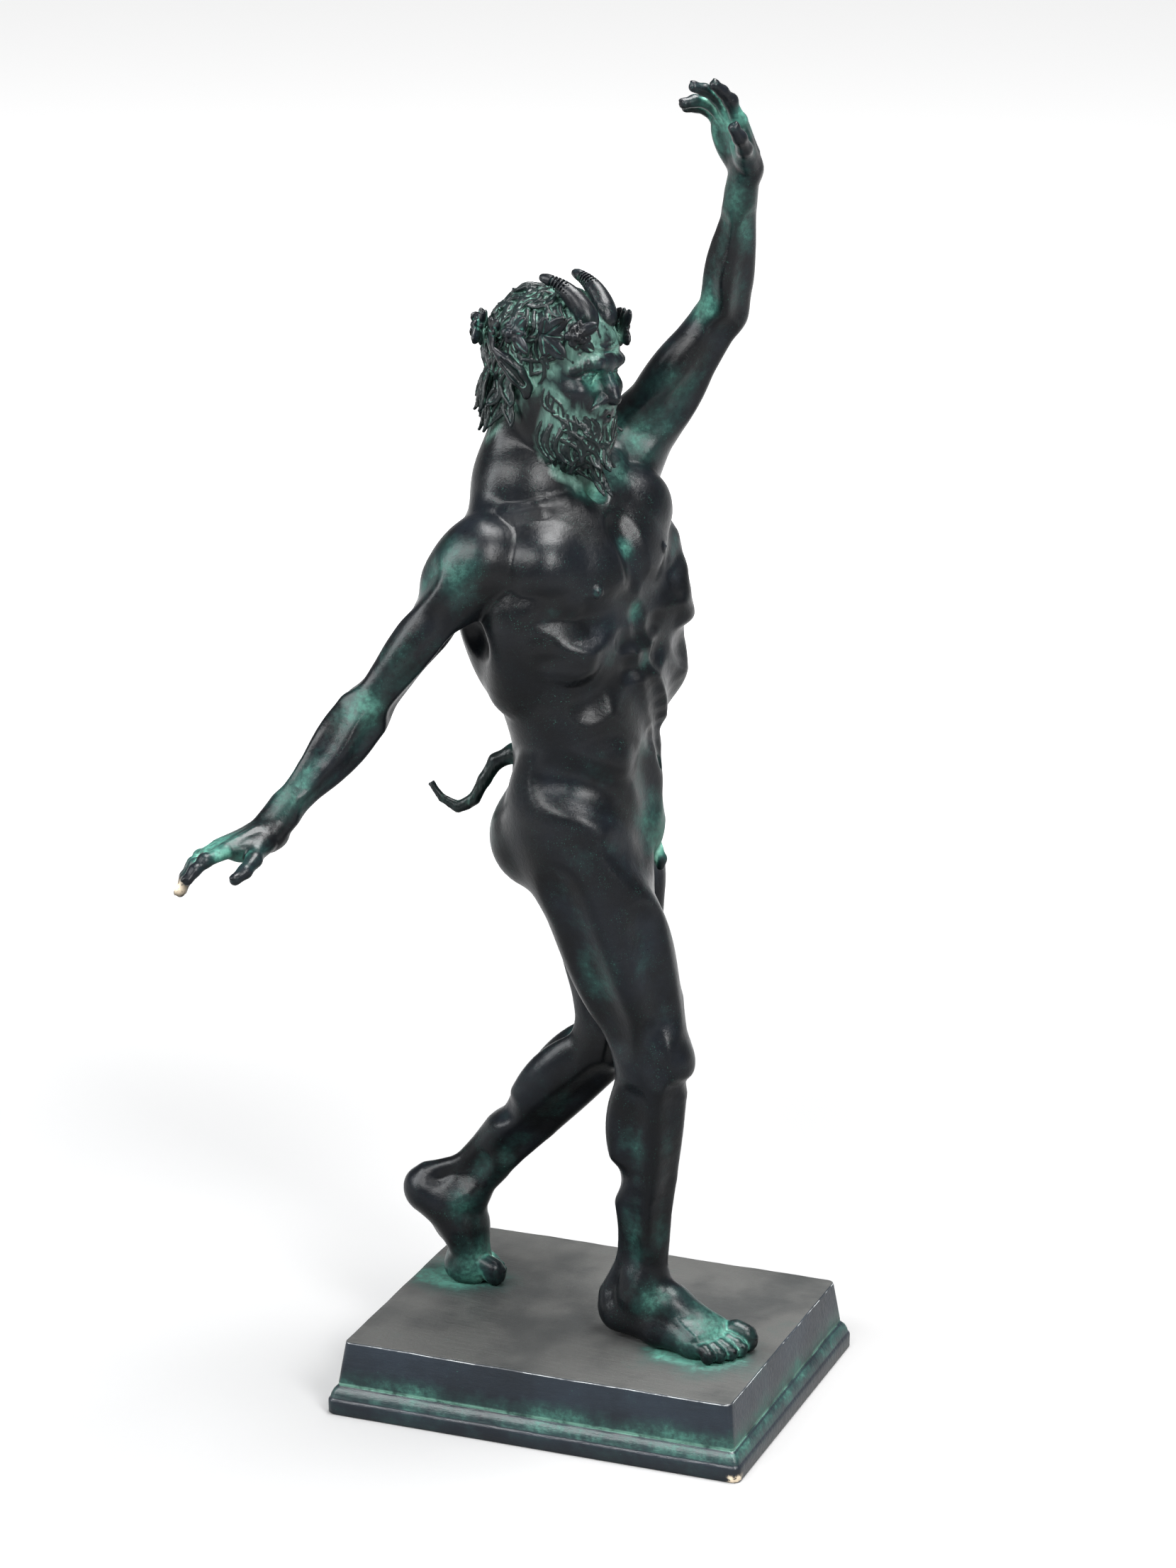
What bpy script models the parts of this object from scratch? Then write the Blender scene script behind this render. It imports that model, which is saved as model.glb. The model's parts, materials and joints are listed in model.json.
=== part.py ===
"""Faun statue: a bearded, horned dancer on a moulded rectangular plinth.

Units are metres, +Z is up and the figure strides toward +X. The origin is the middle of the
plinth's underside. The figure is one cast, the plinth another; a thin gap keeps them apart.
Lengths in the figure are written in millimetres for a stature of 620 mm and scaled by MM.
"""
import math
import random

import bmesh
import bpy
from mathutils import Matrix, Vector

# Driving sizes
PLINTH_LENGTH = 0.265
PLINTH_DEPTH = 0.212
PLINTH_HEIGHT = 0.045
STATURE = 0.628
CONTACT_GAP = 0.0003
MM = STATURE / 620.0

# Plinth moulding: height, inset from the largest outline, corner radius
PLINTH_PROFILE = (
    (0.0000, 0.0008, 0.0050),
    (0.0008, 0.0000, 0.0052),
    (0.0086, 0.0000, 0.0052),
    (0.0098, 0.0009, 0.0046),
    (0.0122, 0.0016, 0.0042),
    (0.0148, 0.0029, 0.0036),
    (0.0170, 0.0046, 0.0030),
    (0.0180, 0.0054, 0.0028),
    (0.0440, 0.0086, 0.0046),
    (0.0450, 0.0093, 0.0044),
)
CORNER_STEPS = 5

# Bones, in millimetres for the 620 mm stature
THIGH = 152 * MM
SHANK = 151 * MM
UPPER_ARM = 110 * MM
FOREARM = 94 * MM

# Surface settings of the figure
MASS_VOXEL = 0.0022
MASS_SMOOTHING = 14
DETAIL_VOXEL = 0.0016
DETAIL_SMOOTHING = 2
FIGURE_TRIANGLES = 9000

SIDES = (1, -1)


def turned(yaw, pitch, roll):
    """Front, left and up axes as the columns of a matrix, turned by degrees."""
    return (Matrix.Rotation(math.radians(yaw), 3, "Z")
            @ Matrix.Rotation(math.radians(pitch), 3, "Y")
            @ Matrix.Rotation(math.radians(roll), 3, "X"))


def axes(along, hint):
    """Columns: along, the hint made square to it, and their cross product."""
    first = Vector(along).normalized()
    second = Vector(hint) - first * first.dot(Vector(hint))
    second.normalize()
    return Matrix((first, second, first.cross(second))).transposed()


def middle_joint(start, end, upper, lower, toward):
    """Knee or elbow of a two-bone limb that bends toward the given direction."""
    line = end - start
    reach = min(line.length, 0.999 * (upper + lower))
    along = (upper ** 2 - lower ** 2 + reach ** 2) / (2 * reach)
    out = math.sqrt(max(upper ** 2 - along ** 2, 0))
    way = line.normalized()
    side = Vector(toward) - way * way.dot(Vector(toward))
    return start + way * along + side.normalized() * out


def roll(degrees):
    return Matrix.Rotation(math.radians(degrees), 3, "X")


def yaw(degrees):
    return Matrix.Rotation(math.radians(degrees), 3, "Z")


def spline(rows, t):
    """Values at t along rows that start with their own t, on a smooth curve."""
    last = len(rows) - 1
    k = 0
    while k < last - 1 and t > rows[k + 1][0]:
        k += 1
    before = rows[max(k - 1, 0)]
    a = rows[k]
    b = rows[k + 1]
    after = rows[min(k + 2, last)]
    span = b[0] - a[0]
    s = (t - a[0]) / span
    values = []
    for i in range(1, len(a)):
        slope_a = (b[i] - before[i]) / (b[0] - before[0]) * span
        slope_b = (after[i] - a[i]) / (after[0] - a[0]) * span
        values.append((2 * s ** 3 - 3 * s ** 2 + 1) * a[i] + (s ** 3 - 2 * s ** 2 + s) * slope_a
                      + (3 * s ** 2 - 2 * s ** 3) * b[i] + (s ** 3 - s ** 2) * slope_b)
    return values


class Clay:
    """Collects balls, tubes and limbs as closed meshes, some to add and some to cut away."""

    def __init__(self):
        self.added = bmesh.new()
        self.cut = bmesh.new()
        self.added_tubes = bpy.data.curves.new("clay_tubes", "CURVE")
        self.cut_tubes = bpy.data.curves.new("cut_tubes", "CURVE")
        for curve in (self.added_tubes, self.cut_tubes):
            curve.dimensions = "3D"
            curve.bevel_depth = 1.0
            curve.bevel_resolution = 3
            curve.use_fill_caps = True

    def ball(self, centre, radii, frame, cut=False):
        shape = self.cut if cut else self.added
        place = Matrix.Translation(centre) @ frame.to_4x4() @ Matrix.Diagonal((*radii, 1))
        bmesh.ops.create_icosphere(shape, subdivisions=3, radius=1.0, matrix=place)

    def tube(self, points, radii, cut=False):
        """A round bar through the points, with a round end at each side."""
        rows = [(i, p.x, p.y, p.z, r) for i, (p, r) in enumerate(zip(points, radii))]
        steps = 3
        count = (len(rows) - 1) * steps + 1
        curve = self.cut_tubes if cut else self.added_tubes
        line = curve.splines.new("POLY")
        line.points.add(count - 1)
        for i in range(count):
            x, y, z, radius = spline(rows, i / steps)
            line.points[i].co = (x, y, z, 1)
            line.points[i].radius = radius
        for point, radius in ((points[0], radii[0]), (points[-1], radii[-1])):
            self.ball(point, (radius * 0.97,) * 3, Matrix.Identity(3), cut)

    def limb(self, start, end, frame, rows):
        """Lofted elliptical sections from start to end with rounded ends."""
        length = (end - start).length
        sides = 28
        rings = []
        first = rows[0]
        last = rows[-1]
        cap_angles = (80, 62, 40, 20)
        for angle in cap_angles:
            c = math.cos(math.radians(angle))
            s = math.sin(math.radians(angle))
            rings.append((-s * math.sqrt(first[1] * first[2]), first[1] * c, first[2] * c, first[3], first[4]))
        for i in range(17):
            t = i / 16
            rings.append((t * length, *spline(rows, t)))
        for angle in reversed(cap_angles):
            c = math.cos(math.radians(angle))
            s = math.sin(math.radians(angle))
            rings.append((length + s * math.sqrt(last[1] * last[2]), last[1] * c, last[2] * c, last[3], last[4]))
        placed = []
        for along, wide, deep, shift_wide, shift_deep in rings:
            ring = []
            for k in range(sides):
                a = 2 * math.pi * k / sides
                offset = Vector((along, shift_wide + wide * math.cos(a), shift_deep + deep * math.sin(a)))
                ring.append(self.added.verts.new(start + frame @ offset))
            placed.append(ring)
        for lower, upper in zip(placed[:-1], placed[1:]):
            for k in range(sides):
                n = (k + 1) % sides
                self.added.faces.new((lower[k], lower[n], upper[n], upper[k]))
        self.added.faces.new(list(reversed(placed[0])))
        self.added.faces.new(placed[-1])

    def mesh_object(self, name, cut):
        """The balls and limbs and the tubes of one kind, joined in one object."""
        shape = self.cut if cut else self.added
        curve = self.cut_tubes if cut else self.added_tubes
        holder = bpy.data.objects.new(name + "_tubes", curve)
        bpy.context.scene.collection.objects.link(holder)
        bpy.context.view_layer.update()
        evaluated = holder.evaluated_get(bpy.context.evaluated_depsgraph_get())
        tubes = bpy.data.meshes.new_from_object(evaluated)
        shape.from_mesh(tubes)
        bpy.data.objects.remove(holder)
        mesh = bpy.data.meshes.new(name)
        bmesh.ops.recalc_face_normals(shape, faces=shape.faces)
        shape.to_mesh(mesh)
        shape.free()
        return bpy.data.objects.new(name, mesh)


class Faun:
    """The pose and every volume of the figure, given to a Clay."""

    def __init__(self, clay):
        self.clay = clay
        top = PLINTH_HEIGHT + CONTACT_GAP
        self.pelvis = turned(8, 4, -4)
        self.pelvis_at = Vector((-4 * MM, 0, top + 322 * MM))
        self.chest = turned(-20, -9, 8)
        self.chest_at = self.pelvis_at + Vector((-7, -3, 134)) * MM
        self.head = turned(-16, 2, -4)
        self.head_at = self.chest_at + Vector((-6, -10, 128)) * MM
        self.hip = {s: self.low(0, 33 * s, 0) for s in SIDES}
        self.sole = {-1: Vector((84 * MM, -30 * MM, top)), 1: Vector((-92 * MM, 22 * MM, top))}
        heel_lift = {-1: 4.0, 1: 54.0}
        self.toe = {s: turned(9 * s, 0, 0) for s in SIDES}
        self.rear = {s: self.toe[s] @ Matrix.Rotation(math.radians(heel_lift[s]), 3, "Y") for s in SIDES}
        self.ankle = {s: self.sole[s] + self.rear[s] @ Vector((-45, 0, 27)) * MM for s in SIDES}
        self.knee = {s: middle_joint(self.hip[s], self.ankle[s], THIGH, SHANK, (1, 0.10 * s, 0)) for s in SIDES}
        self.shoulder = {1: self.up(-3, 59, 50), -1: self.up(-5, -62, 38)}
        upper_arm = {1: Vector((0.50, 0.22, 0.83)), -1: Vector((-0.52, -0.33, -0.79))}
        forearm = {1: Vector((0.22, -0.22, 0.95)), -1: Vector((-0.36, -0.58, -0.60))}
        self.elbow = {s: self.shoulder[s] + upper_arm[s].normalized() * UPPER_ARM for s in SIDES}
        self.wrist = {s: self.elbow[s] + forearm[s].normalized() * FOREARM for s in SIDES}

    def place(self, frame, origin, x, y, z):
        return origin + frame @ Vector((x, y, z)) * MM

    def low(self, x, y, z):
        return self.place(self.pelvis, self.pelvis_at, x, y, z)

    def up(self, x, y, z):
        return self.place(self.chest, self.chest_at, x, y, z)

    def face_at(self, x, y, z):
        return self.place(self.head, self.head_at, x, y, z)

    def ball(self, centre, radii, frame, cut=False):
        self.clay.ball(centre, Vector(radii) * MM, frame, cut)

    def tube(self, points, radii, cut=False):
        self.clay.tube([Vector(p) for p in points], [r * MM for r in radii], cut)

    def limb(self, start, end, hint, sections):
        """Each section: share of the length, half width along the hint, half depth, shift on each."""
        rows = [(t, *[v * MM for v in sizes]) for t, *sizes in sections]
        self.clay.limb(start, end, axes(end - start, hint), rows)

    def masses(self):
        self.torso()
        self.neck()
        for s in SIDES:
            self.leg(s)
            self.arm(s)

    def details(self):
        for s in SIDES:
            self.foot(s)
            self.hand(s)
        self.face()
        self.ears_and_horns()
        self.beard()
        self.hair()
        self.wreath()
        self.tail()
        self.loins()

    def torso(self):
        P, C, low, up = self.pelvis, self.chest, self.low, self.up
        self.limb(low(0, 0, -16), up(0, 0, -36), P @ Vector((0, 1, 0)),
                  [(0, 48, 34, 0, 0), (0.2, 54, 38, 0, 0), (0.42, 52.5, 37.5, 0, 0), (0.7, 49, 35.5, 0, 0),
                   (1, 52, 37, 0, 0)])
        self.limb(up(0, 0, -54), up(-6, 0, 60), C @ Vector((0, 1, 0)),
                  [(0, 50, 36, 0, 0), (0.25, 55, 40, 0, 0), (0.5, 59.5, 43, 0, 0), (0.72, 58.5, 40, 0, 0),
                   (0.88, 48, 32, 0, 0), (1, 34, 24, 0, 0)])
        for s in SIDES:
            lift = 9 if s == 1 else 0
            # Chest muscle from the breastbone to the armpit
            self.ball(up(30, 21 * s, 14 + lift * 0.6), (13, 27, 21.5), C @ roll(14 * s) @ yaw(18 * s))
            self.ball(up(21, 42 * s, 25 + lift), (14, 17, 16), C)
            # Arch of the ribs and the saw muscles beside it
            self.ball(up(20, 27 * s, -28), (19, 20, 22), C @ roll(22 * s))
            for i in range(4):
                self.ball(up(20 - 6.5 * i, (43 + 2.6 * i) * s, -6 - 11 * i), (11, 5, 5.4),
                          C @ roll(-30 * s) @ yaw(30 * s))
            # Broad back muscle, shoulder blade and the long muscles beside the spine
            self.ball(up(-18, 37 * s, 0), (20, 21, 50), C @ roll(10 * s))
            self.ball(up(-29, 31 * s, 26 + lift), (13, 21, 24), C @ roll(-10 * s))
            self.tube([up(-33, 11 * s, 44), up(-33, 11 * s, 0), low(-27, 12 * s, 62), low(-30, 10 * s, 28)],
                      (9, 10, 10, 7))
            # Flank above the hip bone, buttock and groin line
            self.ball(low(4, 41 * s, 36), (24, 14, 17), P @ roll(-10 * s))
            self.ball(low(-20, 23 * s, -14), (28, 26, 32), P)
            self.tube([low(26, 42 * s, 24), low(33, 27 * s, 2), low(32, 11 * s, -14)], (6, 7, 6))
            # Belly muscles
            for z in (-50, -33, -16):
                self.ball(up(32.5, 10 * s, z - 2), (7.5, 10, 9), C)
            self.ball(low(31, 9.5 * s, 44), (8, 11.5, 18), P)
            self.ball(low(28, 9 * s, 14), (11, 14, 20), P)
        self.ball(low(29, 0, -10), (13, 20, 16), P)

    def hollows(self):
        """Navel, breastbone line, spine and eye sockets."""
        low, up = self.low, self.up
        self.ball(low(40, 0, 32), (3.4, 2.0, 2.8), self.pelvis, cut=True)
        self.tube([up(45, 0, 36), up(44.5, 0, 4)], (2.5, 2.5), cut=True)
        self.tube([up(-44, 0, 40), up(-45, 0, -30), low(-40, 0, 44)], (3.5, 4, 4), cut=True)
        for s in SIDES:
            self.ball(self.face_at(35.5, 10.5 * s, 0.5), (7.5, 7.0, 4.8), self.head, cut=True)

    def neck(self):
        H, up = self.head, self.up
        front = H @ Vector((1, 0, 0))
        self.limb(up(-8, 0, 54), self.face_at(-8, 0, -18), front,
                  [(0, 24, 25, 0, 0), (0.4, 21, 21.5, 0, 0), (1, 22, 21, 0, 0)])
        for s in SIDES:
            lift = 7 if s == 1 else 0
            # Muscle from behind the ear to the pit of the neck
            self.tube([self.face_at(-6, 22 * s, -16), up(12, 12 * s, 66), up(24, 5 * s, 52)], (6.5, 6, 4))
            # Cape muscle to the shoulder, then the collar bone
            self.tube([self.face_at(-20, 11 * s, -24), up(-18, 22 * s, 56 + lift * 0.7),
                       self.shoulder[s] + Vector((0, 0, 9)) * MM], (11, 11, 9))
            self.tube([up(25, 6 * s, 50), up(20, 26 * s, 53), up(6, 46 * s, 54 + lift)], (4.2, 3.6, 4))

    def leg(self, s):
        H, K, A = self.hip[s], self.knee[s], self.ankle[s]
        front = Vector((1, 0.12 * s, 0.1))
        F = axes(K - H, front)
        ahead = F @ Vector((0, 1, 0))
        outer = F @ Vector((0, 0, 1))
        if outer.y * s < 0:
            outer = -outer
        T = Matrix(((K - H).normalized(), outer, ahead)).transposed()

        def on_thigh(t, o, f):
            return H + (K - H) * t + outer * o * MM + ahead * f * MM

        self.limb(H, K, ahead,
                  [(0, 36.5, 34.5, -1, 0), (0.18, 36.5, 34, 0, 0), (0.42, 32.5, 30.5, 2, 0), (0.66, 27.5, 25.5, 2, 0),
                   (0.86, 22.8, 21.8, 1, 0), (1, 20.5, 20, 0, 0)])
        self.ball(on_thigh(0.50, 13, 9), (48, 13.5, 17), T)
        self.ball(on_thigh(0.44, 1, 19), (50, 12, 12), T)
        self.ball(on_thigh(0.79, -12, 9), (22, 10.5, 11.5), T)
        self.ball(on_thigh(0.50, 2, -15), (50, 18, 15), T)
        self.ball(on_thigh(0.20, -15, -2), (38, 15, 22), T)
        self.ball(on_thigh(-0.02, 18, -2), (30, 14, 24), T)
        # Knee cap, knuckles of the thigh bone and tendon
        shank = (A - K).normalized()
        B = axes(A - K, front)
        forward = B @ Vector((0, 1, 0))
        knee_front = (ahead + forward).normalized()
        G = Matrix((shank, outer, knee_front)).transposed()
        self.ball(K + knee_front * 17 * MM, (9.5, 8.5, 6), G)
        self.ball(K + outer * 9 * MM + knee_front * 4 * MM, (12, 10.5, 13), G)
        self.ball(K - outer * 9 * MM + knee_front * 4 * MM, (13, 11, 13), G)
        self.tube([K + knee_front * 15 * MM, K + shank * 20 * MM + knee_front * 13 * MM], (5, 4.2))
        # Lower leg: loft, calf heads, shin muscle, shin bone, ankle knuckles
        L = Matrix((shank, outer, forward)).transposed()

        def on_shank(t, o, f):
            return K + (A - K) * t + outer * o * MM + forward * f * MM

        self.limb(K, A, forward,
                  [(0, 20.5, 19.5, 0, 0), (0.12, 20, 19, -1, 0), (0.30, 20.5, 19, -3, 0), (0.50, 17.8, 16.2, -3, 0),
                   (0.70, 13.4, 12.2, -1, 0), (0.88, 11.7, 10, 0, 0), (1, 12.2, 10.6, 0, 0)])
        self.ball(on_shank(0.30, -8, -12.5), (31, 11, 12), L)
        self.ball(on_shank(0.27, 8, -12.5), (28, 10.5, 11), L)
        self.ball(on_shank(0.55, 0, -9.5), (30, 12.5, 8.5), L)
        self.ball(on_shank(0.30, 7.5, 8), (38, 7.5, 8.5), L)
        self.ball(on_shank(0.06, 0, 15), (7, 6, 5), L)
        self.tube([on_shank(0.1, -3, 12), on_shank(0.5, -3, 9), on_shank(0.9, -3, 6)], (5, 4, 4))
        self.ball(on_shank(0.99, 10, -1), (6.5, 4.5, 6), L)
        self.ball(on_shank(0.96, -10, 1), (7, 4.5, 6.5), L)

    def foot(self, s):
        """The rear of the foot is lifted about the ball; the toes stay flat on the plinth."""
        toe, rear = self.toe[s], self.rear[s]

        def at_rear(x, y, z):
            return self.sole[s] + rear @ Vector((x, y * s, z)) * MM

        def at_toe(x, y, z):
            return self.sole[s] + toe @ Vector((x, y * s, z)) * MM

        self.ball(at_rear(-60, 0, 12), (13.5, 11.5, 12.5), rear)
        self.tube([at_rear(-45, 0, 33), at_rear(-44, 0, 22), at_rear(-28, -1, 20), at_rear(-10, -2, 13)],
                  (13, 13.5, 12.5, 10))
        self.tube([at_rear(-58, 4, 9), at_rear(-30, 8, 8.5), at_rear(-4, 9, 7.5)], (9, 8.5, 7.5))
        self.tube([at_rear(-56, -3, 12), at_rear(-30, -7, 18), at_rear(-2, -8, 10)], (9, 8.5, 8))
        # Heel cord
        shank = self.ankle[s] - self.knee[s]
        back = axes(shank, toe @ Vector((1, 0, 0.2))) @ Vector((0, -1, 0))
        self.tube([self.knee[s] + shank * 0.66 + back * 12 * MM, self.knee[s] + shank * 0.88 + back * 13.5 * MM,
                   at_rear(-67, 0, 20)], (5, 4.2, 6))
        # Ball of the foot, then the toes from the great toe outward: side, length, radius
        self.ball(at_toe(0, -8.5, 8.5), (11, 9.5, 8.5), toe)
        self.ball(at_toe(-3, 9, 7), (10, 8.5, 7), toe)
        self.ball(at_toe(-2, 1, 9), (11, 11, 7.5), toe)
        toes = ((-10.5, 27, 6.4), (-2.2, 25.5, 4.5), (4.4, 22.5, 4.2), (10.4, 18.5, 4.0), (15.6, 13.5, 3.9))
        for side, length, radius in toes:
            spread = 1 + 0.004 * length
            self.tube([at_toe(0, side * 0.92, 8), at_toe(0.5 * length, side, radius * 1.75 + 1.2),
                       at_toe(0.72 * length, side * spread, radius * 1.55),
                       at_toe(length - radius, side * spread, radius * 1.02)],
                      (radius, radius * 0.92, radius * 0.95, radius))

    def arm(self, s):
        S, E, W = self.shoulder[s], self.elbow[s], self.wrist[s]
        across = (E - S).cross(W - E).normalized()
        front = across.cross(E - S).normalized()
        U = Matrix(((E - S).normalized(), across, front)).transposed()

        def on_upper(t, o, f):
            return S + (E - S) * t + across * o * MM + front * f * MM

        self.limb(S, E, front, [(0, 19, 18, 0, 0), (0.3, 18.5, 17, 0, 0), (0.6, 17, 15, 0, 0),
                                (0.85, 14, 13.8, 0, 0), (1, 12.5, 13.5, 0, 0)])
        self.ball(on_upper(0.55, 0, 7.5), (30, 12, 11), U)
        self.ball(on_upper(0.42, 0, -8), (34, 13.5, 12), U)
        self.ball(E - front * 8 * MM, (8, 7, 6.5), U)
        # Shoulder cap
        out = self.chest @ Vector((0, s, 0))
        over = out + Vector((0, 0, 0.5)) if s == -1 else out * 0.6 + self.chest @ Vector((-0.3, 0, 0.5))
        over.normalize()
        self.ball(S + (E - S) * 0.16 + over * 5 * MM, (30, 17, 20), axes(E - S, over))
        self.ball(S + (E - S) * 0.05, (22, 21, 21), axes(E - S, over))
        # Forearm
        ahead = axes(W - E, front) @ Vector((0, 1, 0))
        R = Matrix(((W - E).normalized(), across, ahead)).transposed()

        def on_forearm(t, o, f):
            return E + (W - E) * t + across * o * MM + ahead * f * MM

        self.limb(E, W, across, [(0, 13.5, 12.5, 0, 0), (0.2, 15.5, 14, 0, 0), (0.45, 13.5, 12.4, 0, 0),
                                 (0.72, 10.4, 9.2, 0, 0), (0.9, 9.6, 7.7, 0, 0), (1, 9.8, 7.2, 0, 0)])
        self.ball(on_forearm(0.17, 5, 6), (28, 9, 9), R)
        self.ball(on_forearm(0.25, -6, 0), (30, 9, 9.5), R)
        self.ball(on_forearm(0.95, -7, -4), (6, 4.5, 4.5), R)

    def hand(self, s):
        if s == 1:
            way = Vector((-0.30, -0.30, 1.0))
            palm = Vector((-0.55, -0.80, -0.25))
            thumb_way = Vector((1, 0.2, 0))
            curls = ((8, 14, 10), (16, 22, 12), (24, 34, 18), (20, 30, 16))
            fans = (9, 2, -4, -12)
        else:
            way = Vector((-0.62, -0.72, -0.16))
            palm = Vector((0.05, -0.30, -0.95))
            thumb_way = Vector((1, -0.4, 0))
            curls = ((4, 16, 12), (12, 22, 14), (14, 26, 16), (8, 20, 14))
            fans = (10, 3, -4, -13)
        way.normalize()
        basis = axes(way, palm)
        normal = basis @ Vector((0, 1, 0))
        side = basis @ Vector((0, 0, 1))
        if side.dot(thumb_way) < 0:
            side = -side
        M = Matrix((way, side, normal)).transposed()

        def at(x, y, z):
            return self.wrist[s] + M @ Vector((x, y, z)) * MM

        self.limb(at(-2, 0, 0), at(31, 0, 0), side,
                  [(0, 9.5, 7.5, 0, 0), (0.35, 12, 7, 0, 0), (0.75, 14.2, 5.8, 0, 0), (1, 13.6, 4.8, 0, 0)])
        self.ball(at(12, 9, 4), (13, 6.5, 6), M)
        self.ball(at(14, -9, 3), (14, 5, 5), M)
        # Fingers from the index to the little finger: base, three bone lengths, curls and fan angle
        bases = ((32, 10.4), (34, 3.6), (32.5, -3.4), (29, -9.8))
        bones = ((13.5, 8.5, 7), (15, 9.5, 7.5), (14, 9, 7), (10.5, 7, 6.5))
        for (x, y), lengths, bends, fan in zip(bases, bones, curls, fans):
            turn = math.radians(fan)
            direction = M @ Vector((math.cos(turn), math.sin(turn), 0))
            hinge = direction.cross(normal).normalized()
            points = [at(x - 3, y, 0)]
            angle = 0
            for length, bend in zip(lengths, bends):
                angle += bend
                step = Matrix.Rotation(math.radians(angle), 3, hinge) @ direction
                points.append(points[-1] + step * length * MM)
            radius = 3.7 if y > -8 else 3.2
            self.tube(points, (radius * 1.08, radius, radius * 0.93, radius * 0.82))
        # Thumb
        points = [at(7, 8, 3)]
        for length, way_on in ((15, (0.62, 0.72, 0.34)), (11.5, (0.80, 0.52, 0.32)), (8, (0.93, 0.22, 0.30))):
            points.append(points[-1] + (M @ Vector(way_on)).normalized() * length * MM)
        self.tube(points, (5.6, 4.4, 4.0, 3.3))

    def face(self):
        H, at = self.head, self.face_at
        self.ball(at(-6, 0, 10), (37, 29, 33), H)
        self.ball(at(10, 0, -8), (24, 23.5, 30), H)
        self.ball(at(13, 0, -29), (18, 17, 13), H)
        self.ball(at(20, 0, 15), (13, 21, 15), H)
        for s in SIDES:
            # Brow
            self.tube([at(33.5, 4.5 * s, 6.2), at(34.4, 9 * s, 8.0), at(32.0, 15 * s, 7.6), at(26.5, 20 * s, 4.0)],
                      (3.0, 3.3, 3.0, 2.2))
            # Cheekbone, cheek and wing of the nose
            self.ball(at(24.5, 15.5 * s, -8), (8.5, 6.5, 6), H)
            self.ball(at(25, 11 * s, -15), (8, 7, 8), H)
            self.ball(at(35.6, 4.3 * s, -12.6), (4.2, 2.9, 3.2), H)
        # Nose and mouth
        self.tube([at(32.5, 0, 6), at(35.6, 0, 0), at(39.4, 0, -7), at(41.0, 0, -11.2)], (3.2, 2.9, 3.4, 4.1))
        self.ball(at(33.5, 0, 8.5), (4, 6, 4), H)
        self.ball(at(31, 0, -19), (7, 10, 7), H)
        self.tube([at(33.0, -5.5, -22.4), at(36.2, -2, -23.4), at(36.2, 2, -23.4), at(33.0, 5.5, -22.4)],
                  (1.0, 1.9, 1.9, 1.0))

    def ears_and_horns(self):
        H, at = self.head, self.face_at
        for s in SIDES:
            # Pointed ear that leans back
            self.tube([at(2, 30 * s, -8), at(-2, 34.5 * s, -1), at(-8, 38 * s, 6), at(-15, 40.5 * s, 12)],
                      (4.2, 5.2, 4.4, 1.3))
            self.ball(at(3, 31 * s, -11), (2.8, 2.6, 4), H)
            # Horn that rises from the forehead and bends back
            core = []
            for i in range(8):
                t = i / 7
                core.append(at(24 - 30 * t ** 1.5, (8 + 7 * t) * s, 30 + 30 * math.sin(t * 1.35)))
            self.tube(core, [5.1 - 3.7 * i / 7 for i in range(8)])

    def lock(self, points, radius):
        """A tapering lock of hair."""
        count = len(points) - 1
        self.tube(points, [max(0.9, radius * (1.02 - 0.66 * (i / count) ** 1.5)) for i in range(count + 1)])

    def wave(self, start, way, aside, length, swing, phase, droop):
        """Points of a lock that sets off along way and swings aside."""
        way = Vector(way).normalized()
        side = (Vector(aside) - way * Vector(aside).dot(way)).normalized()
        points = []
        for i in range(7):
            t = i / 6
            reach = math.sin(phase + t * 5.2) - math.sin(phase)
            points.append(start + (way * length * t + side * swing * reach * (0.4 + 0.6 * t)
                                   + Vector(droop) * length * t * t) * MM)
        return points

    def beard(self):
        H, at = self.head, self.face_at
        chance = random.Random(7)
        self.limb(at(16, 0, -30), at(31, 0, -55), H @ Vector((0, 1, 0)),
                  [(0, 19, 15, 0, 0), (0.4, 18, 13, 0, 0), (0.8, 12, 9, 0, 0), (1, 7, 6, 0, 0)])
        # Three tiers of locks from the ears to the chin:
        # count, widest angle, forward reach, forward shift, side reach, height, length
        tiers = ((11, 1.42, 23, 0, 25, -19, 19), (11, 1.25, 22, 1, 22, -30, 21), (9, 1.05, 23, 3, 17, -41, 25))
        for tier, (count, widest, reach, shift, broad, height, longest) in enumerate(tiers):
            for i in range(count):
                f = i / (count - 1) * 2 - 1
                angle = f * widest
                spot = at(8 + shift + math.cos(angle) * reach, math.sin(angle) * broad,
                          height + 7 * f * f * (1.7 if tier == 0 else 1))
                way = H @ Vector((0.25 + 0.45 * math.cos(angle), 0.40 * math.sin(angle), -1))
                length = longest * (1 - 0.22 * abs(f)) * chance.uniform(0.9, 1.1)
                aside = H @ Vector((-math.sin(angle), math.cos(angle), 0.2)) * (1 if i % 2 else -1)
                self.lock(self.wave(spot, way, aside, length, 2.5, chance.uniform(-0.6, 0.6),
                                    H @ Vector((0.18, 0, 0))), 3.1)
        for s in SIDES:
            self.lock([at(38, s, -16.6), at(37, 5 * s, -17.2), at(33.5, 9.5 * s, -19.5), at(30.5, 13 * s, -24),
                       at(30, 15 * s, -29), at(32, 17 * s, -32)], 2.8)

    def hair(self):
        H = self.head
        chance = random.Random(3)
        centre = Vector((-6, 0, 10))
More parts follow.
